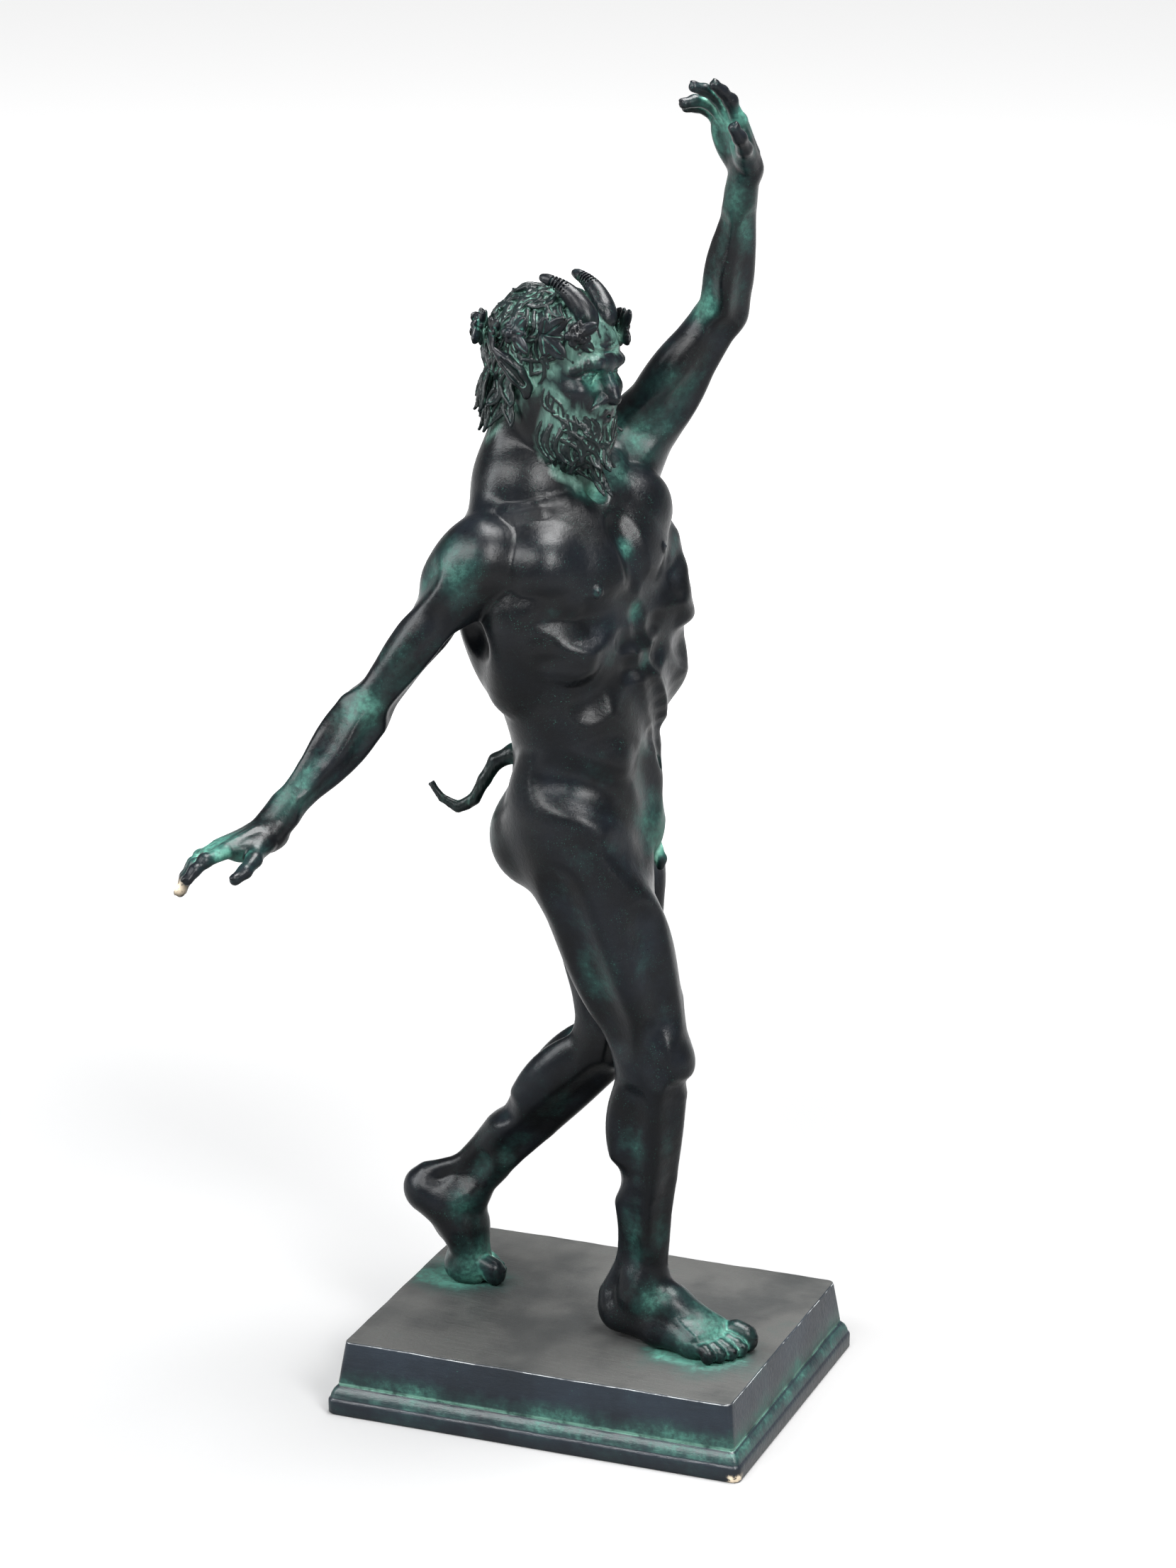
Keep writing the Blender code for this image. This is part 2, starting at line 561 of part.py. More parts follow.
        # Rings of locks from the crown down to the nape: angle from the crown, count, length
        rings = ((20, 7, 22), (42, 12, 22), (66, 17, 22), (92, 20, 22), (114, 17, 24))
        for ring, (polar, count, longest) in enumerate(rings):
            for i in range(count):
                around = 2 * math.pi * (i + 0.5 * (ring % 2)) / count
                tilt = math.radians(polar + chance.uniform(-3, 3))
                d = Vector((math.sin(tilt) * math.cos(around), math.sin(tilt) * math.sin(around), math.cos(tilt)))
                spot = centre + Vector((d.x * 38, d.y * 30.5, d.z * 34.5))
                if (spot.x > 20 and spot.z < 26) or (spot.x > 2 and spot.z < -4):
                    continue
                down = Vector((math.cos(tilt) * math.cos(around), math.cos(tilt) * math.sin(around), -math.sin(tilt)))
                swing = d.cross(down) * (1 if (i + ring) % 2 else -1)
                way = down + d * (0.46 if polar > 80 else 0.34)
                if d.x > 0.2:
                    way += Vector((-0.35, 0, 0.1))
                droop = H @ (-d * 0.25 + Vector((0, 0, -0.3)))
                self.lock(self.wave(self.place(H, self.head_at, *spot), H @ way, H @ swing,
                                    longest * chance.uniform(0.85, 1.15), 3.6, chance.uniform(-0.8, 0.8), droop), 3.7)
        # Forelocks swept to the sides of the brow
        for s in SIDES:
            for k in range(4):
                start = self.face_at(25 - 2.5 * k, (2.5 + 5.5 * k) * s, 29 - 2.4 * k)
                way = H @ Vector((0.35 - 0.3 * k, 0.9 * s, -0.35 - 0.25 * k))
                self.lock(self.wave(start, way, H @ Vector((0.2, 0, 1)), 15, 2.6, 0.4, H @ Vector((-0.3, 0, -0.3))), 3.0)

    def wreath(self):
        H = self.head
        for i in range(12):
            a = 2 * math.pi * (i + 0.5) / 12
            if abs(math.sin(a)) < 0.3 and math.cos(a) > 0:
                continue
            d = Vector((math.cos(a), math.sin(a), 0))
            spot = Vector((-6 + 39 * d.x, 32 * d.y, 22 + 3.2 * d.x))
            tangent = Vector((-d.y, d.x, 0)) * (-1 if d.y < 0 else 1)
            base = self.place(H, self.head_at, *spot)
            # A pair of leaves
            for tilt in (0.75, -0.65):
                way = (tangent * -0.75 + Vector((0, 0, tilt)) + d * 0.35).normalized()
                F = axes(H @ way, H @ d)
                self.ball(base + F @ Vector((8, 2.2, 0)) * MM, (9.5, 2.2, 4.4), F)
            # Three berries at every second pair
            if i % 2 == 0:
                for k in range(3):
                    berry = spot + d * 4 + tangent * (k - 1) * 4.6 + Vector((0, 0, 3.4 if k == 1 else -1.5))
                    self.ball(self.place(H, self.head_at, *berry), (3.4, 3.4, 3.4), H)

    def tail(self):
        path = ((-34, 0, 22), (-46, 0, 24), (-56, -1, 18), (-62, -2, 6), (-67, -3, -6), (-76, -4, -12),
                (-86, -4, -8), (-93, -4, 0))
        self.tube([self.low(*p) for p in path], (7.5, 7, 6.4, 5.6, 5.2, 5, 4, 1.8))

    def loins(self):
        P, low = self.pelvis, self.low
        for s in SIDES:
            self.ball(low(36, 4.5 * s, -28), (6.2, 5.6, 7.8), P)
        self.tube([low(37, 0, -19), low(43, 0, -21.5), low(46.5, 0, -27), low(47, 0, -31.5)], (4.2, 4.0, 3.7, 2.4))
        for i in range(10):
            f = (i % 5) / 4 * 2 - 1
            row = i // 5
            start = low(38.5 - 3.0 * f * f, f * (14, 10)[row], (-10, -16)[row] + 3 * abs(f))
            self.lock(self.wave(start, P @ Vector((0.5, 0.5 * f, -0.7)), P @ Vector((0, 1 if i % 2 else -1, 0.2)),
                                7, 2.2, 0.3, (0, 0, 0)), 2.3)


def painted(obj, name, colour, roughness):
    material = bpy.data.materials.new(name)
    material.use_nodes = True
    shader = material.node_tree.nodes["Principled BSDF"]
    shader.inputs["Base Color"].default_value = (*colour, 1)
    shader.inputs["Roughness"].default_value = roughness
    obj.data.materials.clear()
    obj.data.materials.append(material)


def apply_modifiers(obj):
    """Bakes the object's modifiers into its own mesh."""
    bpy.context.view_layer.update()
    evaluated = obj.evaluated_get(bpy.context.evaluated_depsgraph_get())
    old = obj.data
    obj.data = bpy.data.meshes.new_from_object(evaluated)
    obj.modifiers.clear()
    bpy.data.meshes.remove(old)


def remesh(obj, voxel):
    step = obj.modifiers.new("remesh", "REMESH")
    step.mode = "VOXEL"
    step.voxel_size = voxel
    step.use_smooth_shade = True


def keep_largest(obj):
    """Drops every loose shell but the largest, such as a closed pocket inside."""
    shape = bmesh.new()
    shape.from_mesh(obj.data)
    shape.verts.ensure_lookup_table()
    seen = set()
    groups = []
    for seed in shape.verts:
        if seed in seen:
            continue
        group = [seed]
        seen.add(seed)
        for vert in group:
            for edge in vert.link_edges:
                other = edge.other_vert(vert)
                if other not in seen:
                    seen.add(other)
                    group.append(other)
        groups.append(group)
    groups.sort(key=len)
    for group in groups[:-1]:
        bmesh.ops.delete(shape, geom=group, context="VERTS")
    shape.to_mesh(obj.data)
    shape.free()


def soften(obj, passes):
    step = obj.modifiers.new("soften", "SMOOTH")
    step.factor = 0.5
    step.iterations = passes


def figure(parts, cutters):
    # Trunk and limbs first, well smoothed, so that the muscles flow into each other
    rough = Clay()
    faun = Faun(rough)
    faun.masses()
    trunk = rough.mesh_object("trunk", cut=False)
    bpy.context.scene.collection.objects.link(trunk)
    remesh(trunk, MASS_VOXEL)
    soften(trunk, MASS_SMOOTHING)
    apply_modifiers(trunk)
    # Then hands, feet and head with their crisper forms
    clay = Clay()
    clay.added.from_mesh(trunk.data)
    bpy.data.objects.remove(trunk)
    faun.clay = clay
    faun.details()
    faun.hollows()
    body = clay.mesh_object("faun_figure", cut=False)
    hollows = clay.mesh_object("hollows", cut=True)
    parts.objects.link(body)
    cutters.objects.link(hollows)
    remesh(hollows, DETAIL_VOXEL)
    apply_modifiers(hollows)
    remesh(body, DETAIL_VOXEL)
    carve = body.modifiers.new("carve", "BOOLEAN")
    carve.operation = "DIFFERENCE"
    carve.solver = "EXACT"
    carve.object = hollows
    soften(body, DETAIL_SMOOTHING)
    remesh(body, DETAIL_VOXEL)
    apply_modifiers(body)
    keep_largest(body)
    thin = body.modifiers.new("thin", "DECIMATE")
    thin.ratio = FIGURE_TRIANGLES / (2 * len(body.data.polygons))
    thin.use_collapse_triangulate = True
    apply_modifiers(body)
    # The soles end on a flat just above the plinth.
    bpy.ops.mesh.primitive_cube_add(size=1, location=(0, 0, PLINTH_HEIGHT + CONTACT_GAP - 0.05))
    sole_cutter = bpy.context.object
    sole_cutter.name = "sole_cutter"
    sole_cutter.scale = (0.5, 0.5, 0.1)
    for holder in list(sole_cutter.users_collection):
        holder.objects.unlink(sole_cutter)
    cutters.objects.link(sole_cutter)
    level = body.modifiers.new("level_soles", "BOOLEAN")
    level.operation = "DIFFERENCE"
    level.solver = "EXACT"
    level.object = sole_cutter
    apply_modifiers(body)
    for cutter in (hollows, sole_cutter):
        cutter.hide_render = True
        cutter.display_type = "WIRE"
    body.data.shade_smooth()
    painted(body, "patinated_figure", (0.035, 0.045, 0.05), 0.42)


def rounded_rectangle(length, depth, radius):
    """Outline of a rectangle with round corners, anticlockwise."""
    corners = ((1, 1, 0), (-1, 1, 90), (-1, -1, 180), (1, -1, 270))
    outline = []
    for side_x, side_y, start in corners:
        centre = Vector((side_x * (length / 2 - radius), side_y * (depth / 2 - radius)))
        for k in range(CORNER_STEPS + 1):
            a = math.radians(start + 90 * k / CORNER_STEPS)
            outline.append(centre + Vector((math.cos(a), math.sin(a))) * radius)
    return outline


def plinth(parts):
    """Moulded block lofted through round-cornered rectangles."""
    shape = bmesh.new()
    rings = []
    for height, inset, radius in PLINTH_PROFILE:
        outline = rounded_rectangle(PLINTH_LENGTH - 2 * inset, PLINTH_DEPTH - 2 * inset, radius)
        rings.append([shape.verts.new((p.x, p.y, height)) for p in outline])
    for lower, upper in zip(rings[:-1], rings[1:]):
        count = len(lower)
        for k in range(count):
            n = (k + 1) % count
            shape.faces.new((lower[k], lower[n], upper[n], upper[k]))
    shape.faces.new(list(reversed(rings[0])))
    shape.faces.new(rings[-1])
    mesh = bpy.data.meshes.new("plinth")
    shape.to_mesh(mesh)
    shape.free()
    block = bpy.data.objects.new("plinth", mesh)
    parts.objects.link(block)
    painted(block, "patinated_plinth", (0.05, 0.055, 0.055), 0.45)


def main():
    for obj in list(bpy.data.objects):
        bpy.data.objects.remove(obj)
    parts = bpy.data.collections.new("faun_statue")
    cutters = bpy.data.collections.new("cutters")
    bpy.context.scene.collection.children.link(parts)
    bpy.context.scene.collection.children.link(cutters)
    plinth(parts)
    figure(parts, cutters)


main()
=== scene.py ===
import json
import math
import random

import bmesh
import bpy
import numpy as np
import openvdb
from mathutils import Matrix, Vector
from mathutils.kdtree import KDTree

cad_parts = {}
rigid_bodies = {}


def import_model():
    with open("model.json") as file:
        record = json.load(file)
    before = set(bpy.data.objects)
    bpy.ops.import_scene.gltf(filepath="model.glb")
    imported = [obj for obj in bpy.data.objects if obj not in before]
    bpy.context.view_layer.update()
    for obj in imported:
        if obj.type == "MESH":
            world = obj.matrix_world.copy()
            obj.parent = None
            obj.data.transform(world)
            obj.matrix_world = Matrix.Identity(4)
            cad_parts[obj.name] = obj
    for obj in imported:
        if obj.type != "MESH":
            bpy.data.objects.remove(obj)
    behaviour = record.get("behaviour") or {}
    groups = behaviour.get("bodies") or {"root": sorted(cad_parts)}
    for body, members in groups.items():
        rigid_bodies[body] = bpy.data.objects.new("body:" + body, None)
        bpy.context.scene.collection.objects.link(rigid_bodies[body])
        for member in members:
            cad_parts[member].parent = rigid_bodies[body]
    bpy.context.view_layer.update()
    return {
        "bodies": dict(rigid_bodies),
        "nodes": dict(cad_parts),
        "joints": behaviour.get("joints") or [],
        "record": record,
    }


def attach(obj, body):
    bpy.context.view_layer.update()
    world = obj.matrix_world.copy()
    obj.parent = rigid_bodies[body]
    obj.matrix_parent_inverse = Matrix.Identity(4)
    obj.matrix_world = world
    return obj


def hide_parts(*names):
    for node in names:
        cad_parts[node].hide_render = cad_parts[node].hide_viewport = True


# Sizes shared with the part's source
PLINTH_LENGTH = 0.265
PLINTH_DEPTH = 0.212
PLINTH_HEIGHT = 0.045
STATURE = 0.628
CONTACT_GAP = 0.0003
MM = STATURE / 620.0
# Each row of the moulding: height, inset, radius of the corners
PLINTH_PROFILE = (
    (0.0000, 0.0008, 0.0050),
    (0.0008, 0.0001, 0.0052),
    (0.0080, 0.0000, 0.0052),
    (0.0092, 0.0003, 0.0050),
    (0.0098, 0.0009, 0.0046),
    (0.0104, 0.0012, 0.0044),
    (0.0122, 0.0016, 0.0042),
    (0.0148, 0.0029, 0.0036),
    (0.0162, 0.0042, 0.0032),
    (0.0170, 0.0050, 0.0030),
    (0.0175, 0.0058, 0.0028),
    (0.0180, 0.0057, 0.0028),
    (0.0186, 0.0055, 0.0028),
    (0.0310, 0.0070, 0.0036),
    (0.0438, 0.0086, 0.0046),
    (0.0446, 0.0088, 0.0046),
    (0.0450, 0.0094, 0.0044),
)
THIGH = 152 * MM
SHANK = 151 * MM
UPPER_ARM = 110 * MM
FOREARM = 94 * MM
SIDES = (1, -1)

# Figure mesh: one grid for the body and a finer one for the head, which meet on a sphere
BODY_VOXEL = 0.00070
HEAD_VOXEL = 0.00040
BODY_TRIANGLES = 88000
HEAD_TRIANGLES = 108000
EMPTY_DISTANCE = 0.0026
HEAD_RADIUS = 0.076
SEAM = 0.0018
SINK = 0.0002
SLAB_CELLS = 1200000
BODY_GRID = ((-0.20, -0.235, 0.040), (0.130, 0.105, 0.812))
LIMB_STEPS = 64
HORN_STEPS = 20
LOCK_STEPS = 10
CAVITY_CELL = 0.0030

# Plinth mesh: points round a corner and along each side, and rings over the top
CORNER_STEPS = 8
SIDE_STEPS = (60, 48)
TOP_RINGS = 32

# Camera, from the plinth's corners in the photograph
CAMERA_AZIMUTH = 21.317
CAMERA_ELEVATION = 17.763
CAMERA_DISTANCE = 2.7552
CAMERA_TARGET = (-0.0030, -0.0012, 0.3839)
CAMERA_LENS = 107.12

# Lamps: name, place, height aimed at, size, power in watts, colour
LAMPS = (
    ("top_box", (0.35, 0.25, 2.0), 0.3, (1.0, 0.9), 150, (1, 1, 1)),
    ("left_box", (-1.7, -1.3, 1.6), 0.4, (0.9, 1.5), 105, (0.95, 0.98, 1.0)),
    ("right_box", (1.4, -1.0, 1.6), 0.4, (0.6, 1.0), 84, (1, 1, 1)),
    ("front_box", (-0.5, -2.0, 2.3), 0.3, (1.7, 0.9), 130, (1, 1, 1)),
)
FLOOR_NEAR = (0.185, 0.185, 0.185)
FLOOR_FAR = (0.80, 0.80, 0.80)

# Paint colours, linear, and how glossy the paint is
BLACK = (0.0013, 0.0015, 0.0019)
SLATE = (0.0034, 0.0047, 0.0068)
DEEP_GREEN = (0.0085, 0.0290, 0.0255)
GREEN = (0.0320, 0.1050, 0.0820)
MINT = (0.1300, 0.2700, 0.2150)
LOCK_SHADE = (0.0030, 0.0050, 0.0050)
LOCK_FURROW = (0.0330, 0.0680, 0.0560)
LOCK_CHALK = (0.0850, 0.1600, 0.1300)
CREAM = (0.55, 0.46, 0.34)
WALL_DARK = (0.0028, 0.0046, 0.0072)
WALL_LIGHT = (0.0060, 0.0098, 0.0150)
# Top of the plinth: its own cloudy tone, made lighter than the walls as a painted sheen of the overhead
# light
PAINTED_SHEEN_DECK_DARK = (0.0190, 0.0200, 0.0198)
PAINTED_SHEEN_DECK_LIGHT = (0.0350, 0.0352, 0.0338)
GROOVE_GREEN = (0.085, 0.18, 0.14)
WORN_GREY = (0.26, 0.27, 0.27)
FIGURE_SHEEN = 0.12
PLINTH_SHEEN = 0.27


def turned(yaw, pitch, roll):
    """Front, left and up axes as the columns of a matrix, turned by degrees."""
    return (Matrix.Rotation(math.radians(yaw), 3, "Z")
            @ Matrix.Rotation(math.radians(pitch), 3, "Y")
            @ Matrix.Rotation(math.radians(roll), 3, "X"))


def axes(along, hint):
    """Columns: along, the hint made square to it, and their cross product."""
    first = Vector(along).normalized()
    second = Vector(hint) - first * first.dot(Vector(hint))
    second.normalize()
    return columns(first, second, first.cross(second))


def columns(first, second, third):
    return Matrix((first, second, third)).transposed()


def along_bone(start, end, side, front):
    """A place by its share of a bone's length and millimetres to the bone's side and front."""
    return lambda share, out, ahead: start + (end - start) * share + side * out * MM + front * ahead * MM


def middle_joint(start, end, upper, lower, toward):
    """Knee or elbow of a two-bone limb that bends toward the given direction."""
    line = end - start
    reach = min(line.length, 0.999 * (upper + lower))
    along = (upper ** 2 - lower ** 2 + reach ** 2) / (2 * reach)
    out = math.sqrt(max(upper ** 2 - along ** 2, 0))
    way = line.normalized()
    side = Vector(toward) - way * way.dot(Vector(toward))
    return start + way * along + side.normalized() * out


def roll(degrees):
    return Matrix.Rotation(math.radians(degrees), 3, "X")


def yaw(degrees):
    return Matrix.Rotation(math.radians(degrees), 3, "Z")


def soft_minimum(first, second, blend):
    """The smaller of two fields, with a rounded seam as wide as the blend."""
    near = np.maximum(blend - np.abs(first - second), 0) / blend
    return np.minimum(first, second) - near * near * (blend * 0.25)


class Clay:
    """A distance field on a grid, to which rounded forms are added or cut, each with a soft seam."""

    def __init__(self, low, high, voxel):
        self.voxel = voxel
        self.low = np.array(low, np.float64)
        size = np.ceil((np.array(high) - self.low) / voxel).astype(int) + 1
        self.far = EMPTY_DISTANCE
        self.grid = np.full(size, self.far, np.float32)

    def slabs(self, low, high, pad):
        """The grid round a box in slabs of a handy size, each with the coordinates along its axes."""
        a = np.floor((np.array(low) - pad - self.low) / self.voxel).astype(int)
        b = np.ceil((np.array(high) + pad - self.low) / self.voxel).astype(int) + 1
        a = np.clip(a, 0, self.grid.shape)
        b = np.clip(b, 0, self.grid.shape)
        if (b <= a).any():
            return
        deep = max(1, SLAB_CELLS // ((b[1] - a[1]) * (b[2] - a[2])))
        for first in range(a[0], b[0], deep):
            spans = (slice(first, min(first + deep, b[0])), slice(a[1], b[1]), slice(a[2], b[2]))
            lines = [(self.low[k] + np.arange(spans[k].start, spans[k].stop) * self.voxel).astype(np.float32)
                     for k in range(3)]
            yield spans, lines

    def merge(self, spans, distance, blend, cut):
        old = self.grid[spans]
        if cut:
            self.grid[spans] = -soft_minimum(-old, distance, blend)
        else:
            self.grid[spans] = soft_minimum(old, distance, blend)

    def local(self, lines, origin, frame):
        """Coordinates of a slab's points in a frame."""
        x = lines[0][:, None, None] - np.float32(origin[0])
        y = lines[1][None, :, None] - np.float32(origin[1])
        z = lines[2][None, None, :] - np.float32(origin[2])
        f = np.array(frame, np.float32)
        return [x * f[0, i] + y * f[1, i] + z * f[2, i] for i in range(3)]

    def ball(self, centre, radii, frame, blend, cut=False):
        centre = np.array(centre)
        r = np.array(radii, np.float32)
        reach = np.sqrt(((np.array(frame) * r[None, :]) ** 2).sum(1))
        for spans, lines in self.slabs(centre - reach, centre + reach, blend + 3 * self.voxel):
            p = self.local(lines, centre, frame)
            k0 = np.sqrt((p[0] / r[0]) ** 2 + (p[1] / r[1]) ** 2 + (p[2] / r[2]) ** 2)
            k1 = np.sqrt((p[0] / r[0] ** 2) ** 2 + (p[1] / r[1] ** 2) ** 2 + (p[2] / r[2] ** 2) ** 2) + 1e-6
            self.merge(spans, k0 * (k0 - 1) / k1, blend, cut)

    def tube(self, points, radii, blend, cut=False):
        """A round bar through the points."""
        points = np.array([list(p) for p in points])
        radii = np.array(radii)
        low = (points - radii[:, None]).min(0)
        high = (points + radii[:, None]).max(0)
        for spans, lines in self.slabs(low, high, blend + 2 * self.voxel):
            x = lines[0][:, None, None]
            y = lines[1][None, :, None]
            z = lines[2][None, None, :]
            best = None
            for a, b, ra, rb in zip(points[:-1], points[1:], radii[:-1], radii[1:]):
                ab = (b - a).astype(np.float32)
                px = x - np.float32(a[0])
                py = y - np.float32(a[1])
                pz = z - np.float32(a[2])
                t = np.clip((px * ab[0] + py * ab[1] + pz * ab[2]) / (float(ab @ ab) + 1e-12), 0, 1)
                d = np.sqrt((px - t * ab[0]) ** 2 + (py - t * ab[1]) ** 2 + (pz - t * ab[2]) ** 2)
                d -= np.float32(ra) + t * np.float32(rb - ra)
                best = d if best is None else soft_minimum(best, d, 0.6 * min(ra, rb))
            self.merge(spans, best, blend, cut)

    def limb(self, start, end, frame, rows, blend):
        """Elliptical sections from start to end with rounded ends."""
        start = np.array(start)
        end = np.array(end)
        rows = np.array(rows, np.float64)
        widest = rows[:, 1:3].max() + np.abs(rows[:, 3:]).max()
        low = np.minimum(start, end) - widest
        high = np.maximum(start, end) + widest
        length = np.linalg.norm(end - start)
        fine = np.linspace(0, 1, LIMB_STEPS + 1)
        curves = [smooth_rows(rows[:, 0], rows[:, k], fine) for k in range(1, 5)]
        for spans, lines in self.slabs(low, high, blend + 3 * self.voxel):
            along, u, v = self.local(lines, start, frame)
            index = (np.clip(along / length, 0, 1) * LIMB_STEPS).ravel()
            wide, deep, shift_wide, shift_deep = [
                np.interp(index, np.arange(LIMB_STEPS + 1), curve).reshape(along.shape).astype(np.float32)
                for curve in curves]
            over = np.maximum(np.maximum(-along, along - length), 0)
            rho = np.sqrt(((u - shift_wide) / wide) ** 2 + ((v - shift_deep) / deep) ** 2
                          + over ** 2 / (wide * deep))
            self.merge(spans, (rho - 1) * np.minimum(wide, deep), blend, False)

    def floor(self, height):
        """Cuts everything below a height."""
        z = (self.low[2] + np.arange(self.grid.shape[2]) * self.voxel).astype(np.float32)
        np.maximum(self.grid, (height - z)[None, None, :], out=self.grid)

    def sample(self, points):
        """Field values at points, read linearly between grid cells."""
        return read_grid(self.grid, (points - self.low) / self.voxel)

    def slopes(self, points):
        """Unit normals of the field at points."""
        step = 0.8 * self.voxel
        normal = np.empty((len(points), 3), np.float32)
        for k in range(3):
            move = np.zeros(3)
            move[k] = step
            normal[:, k] = self.sample(points + move) - self.sample(points - move)
        return normal / np.maximum(np.linalg.norm(normal, axis=1, keepdims=True), 1e-9)

    def polygons(self, flatness):
        volume = openvdb.FloatGrid(float(self.far))
        volume.copyFromArray(np.clip(self.grid, -self.far, self.far, out=self.grid))
        points, triangles, quads = volume.convertToPolygons(isovalue=0.0, adaptivity=flatness)
        return points * self.voxel + self.low, triangles, quads

    def fullness(self, cell):
        """Share of clay in blocks of cell grid steps, blurred: high deep inside, low in the open."""
        shape = [n // cell for n in self.grid.shape]
        blocks = np.empty(shape, np.float32)
        for i in range(shape[0]):
            slab = self.grid[i * cell:(i + 1) * cell, :shape[1] * cell, :shape[2] * cell]
            inside = np.clip(0.5 - slab / (2 * self.voxel), 0, 1)
            blocks[i] = inside.reshape(cell, shape[1], cell, shape[2], cell).mean(axis=(0, 2, 4))
        for _ in range(2):
            for axis in range(3):
                blocks = (np.roll(blocks, 1, axis) + 2 * blocks + np.roll(blocks, -1, axis)) / 4
        return blocks


def smooth_rows(xs, ys, at):
    """A smooth curve through rows of values."""
    slopes = np.gradient(ys, xs)
    i = np.clip(np.searchsorted(xs, at, side="right") - 1, 0, len(xs) - 2)
    h = xs[i + 1] - xs[i]
    s = (at - xs[i]) / h
    return ((2 * s ** 3 - 3 * s ** 2 + 1) * ys[i] + (s ** 3 - 2 * s ** 2 + s) * h * slopes[i]
            + (3 * s ** 2 - 2 * s ** 3) * ys[i + 1] + (s ** 3 - s ** 2) * h * slopes[i + 1])


def smooth_line(points, steps=4):
    """Catmull-Rom line through points, with steps pieces between each two."""
    points = [Vector(p) for p in points]
    line = []
    for i in range(len(points) - 1):
        a = points[max(i - 1, 0)]
        b = points[i]
        c = points[i + 1]
        d = points[min(i + 2, len(points) - 1)]
        for k in range(steps):
            t = k / steps
            line.append(0.5 * ((2 * b) + (c - a) * t + (2 * a - 5 * b + 4 * c - d) * t ** 2
                               + (3 * b - a - 3 * c + d) * t ** 3))
    line.append(points[-1])
    return line


def read_grid(grid, places):
    """Linear interpolation of a 3-D grid at fractional indices."""
    top = np.array(grid.shape) - 1.001
    places = np.clip(places, 0, top)
    base = places.astype(int)
    f = (places - base).astype(np.float32)
    total = np.zeros(len(places), np.float32)
    for dx in (0, 1):
        for dy in (0, 1):
            for dz in (0, 1):
                weight = (f[:, 0] if dx else 1 - f[:, 0]) * (f[:, 1] if dy else 1 - f[:, 1])
                weight = weight * (f[:, 2] if dz else 1 - f[:, 2])
                total += weight * grid[base[:, 0] + dx, base[:, 1] + dy, base[:, 2] + dz]
    return total


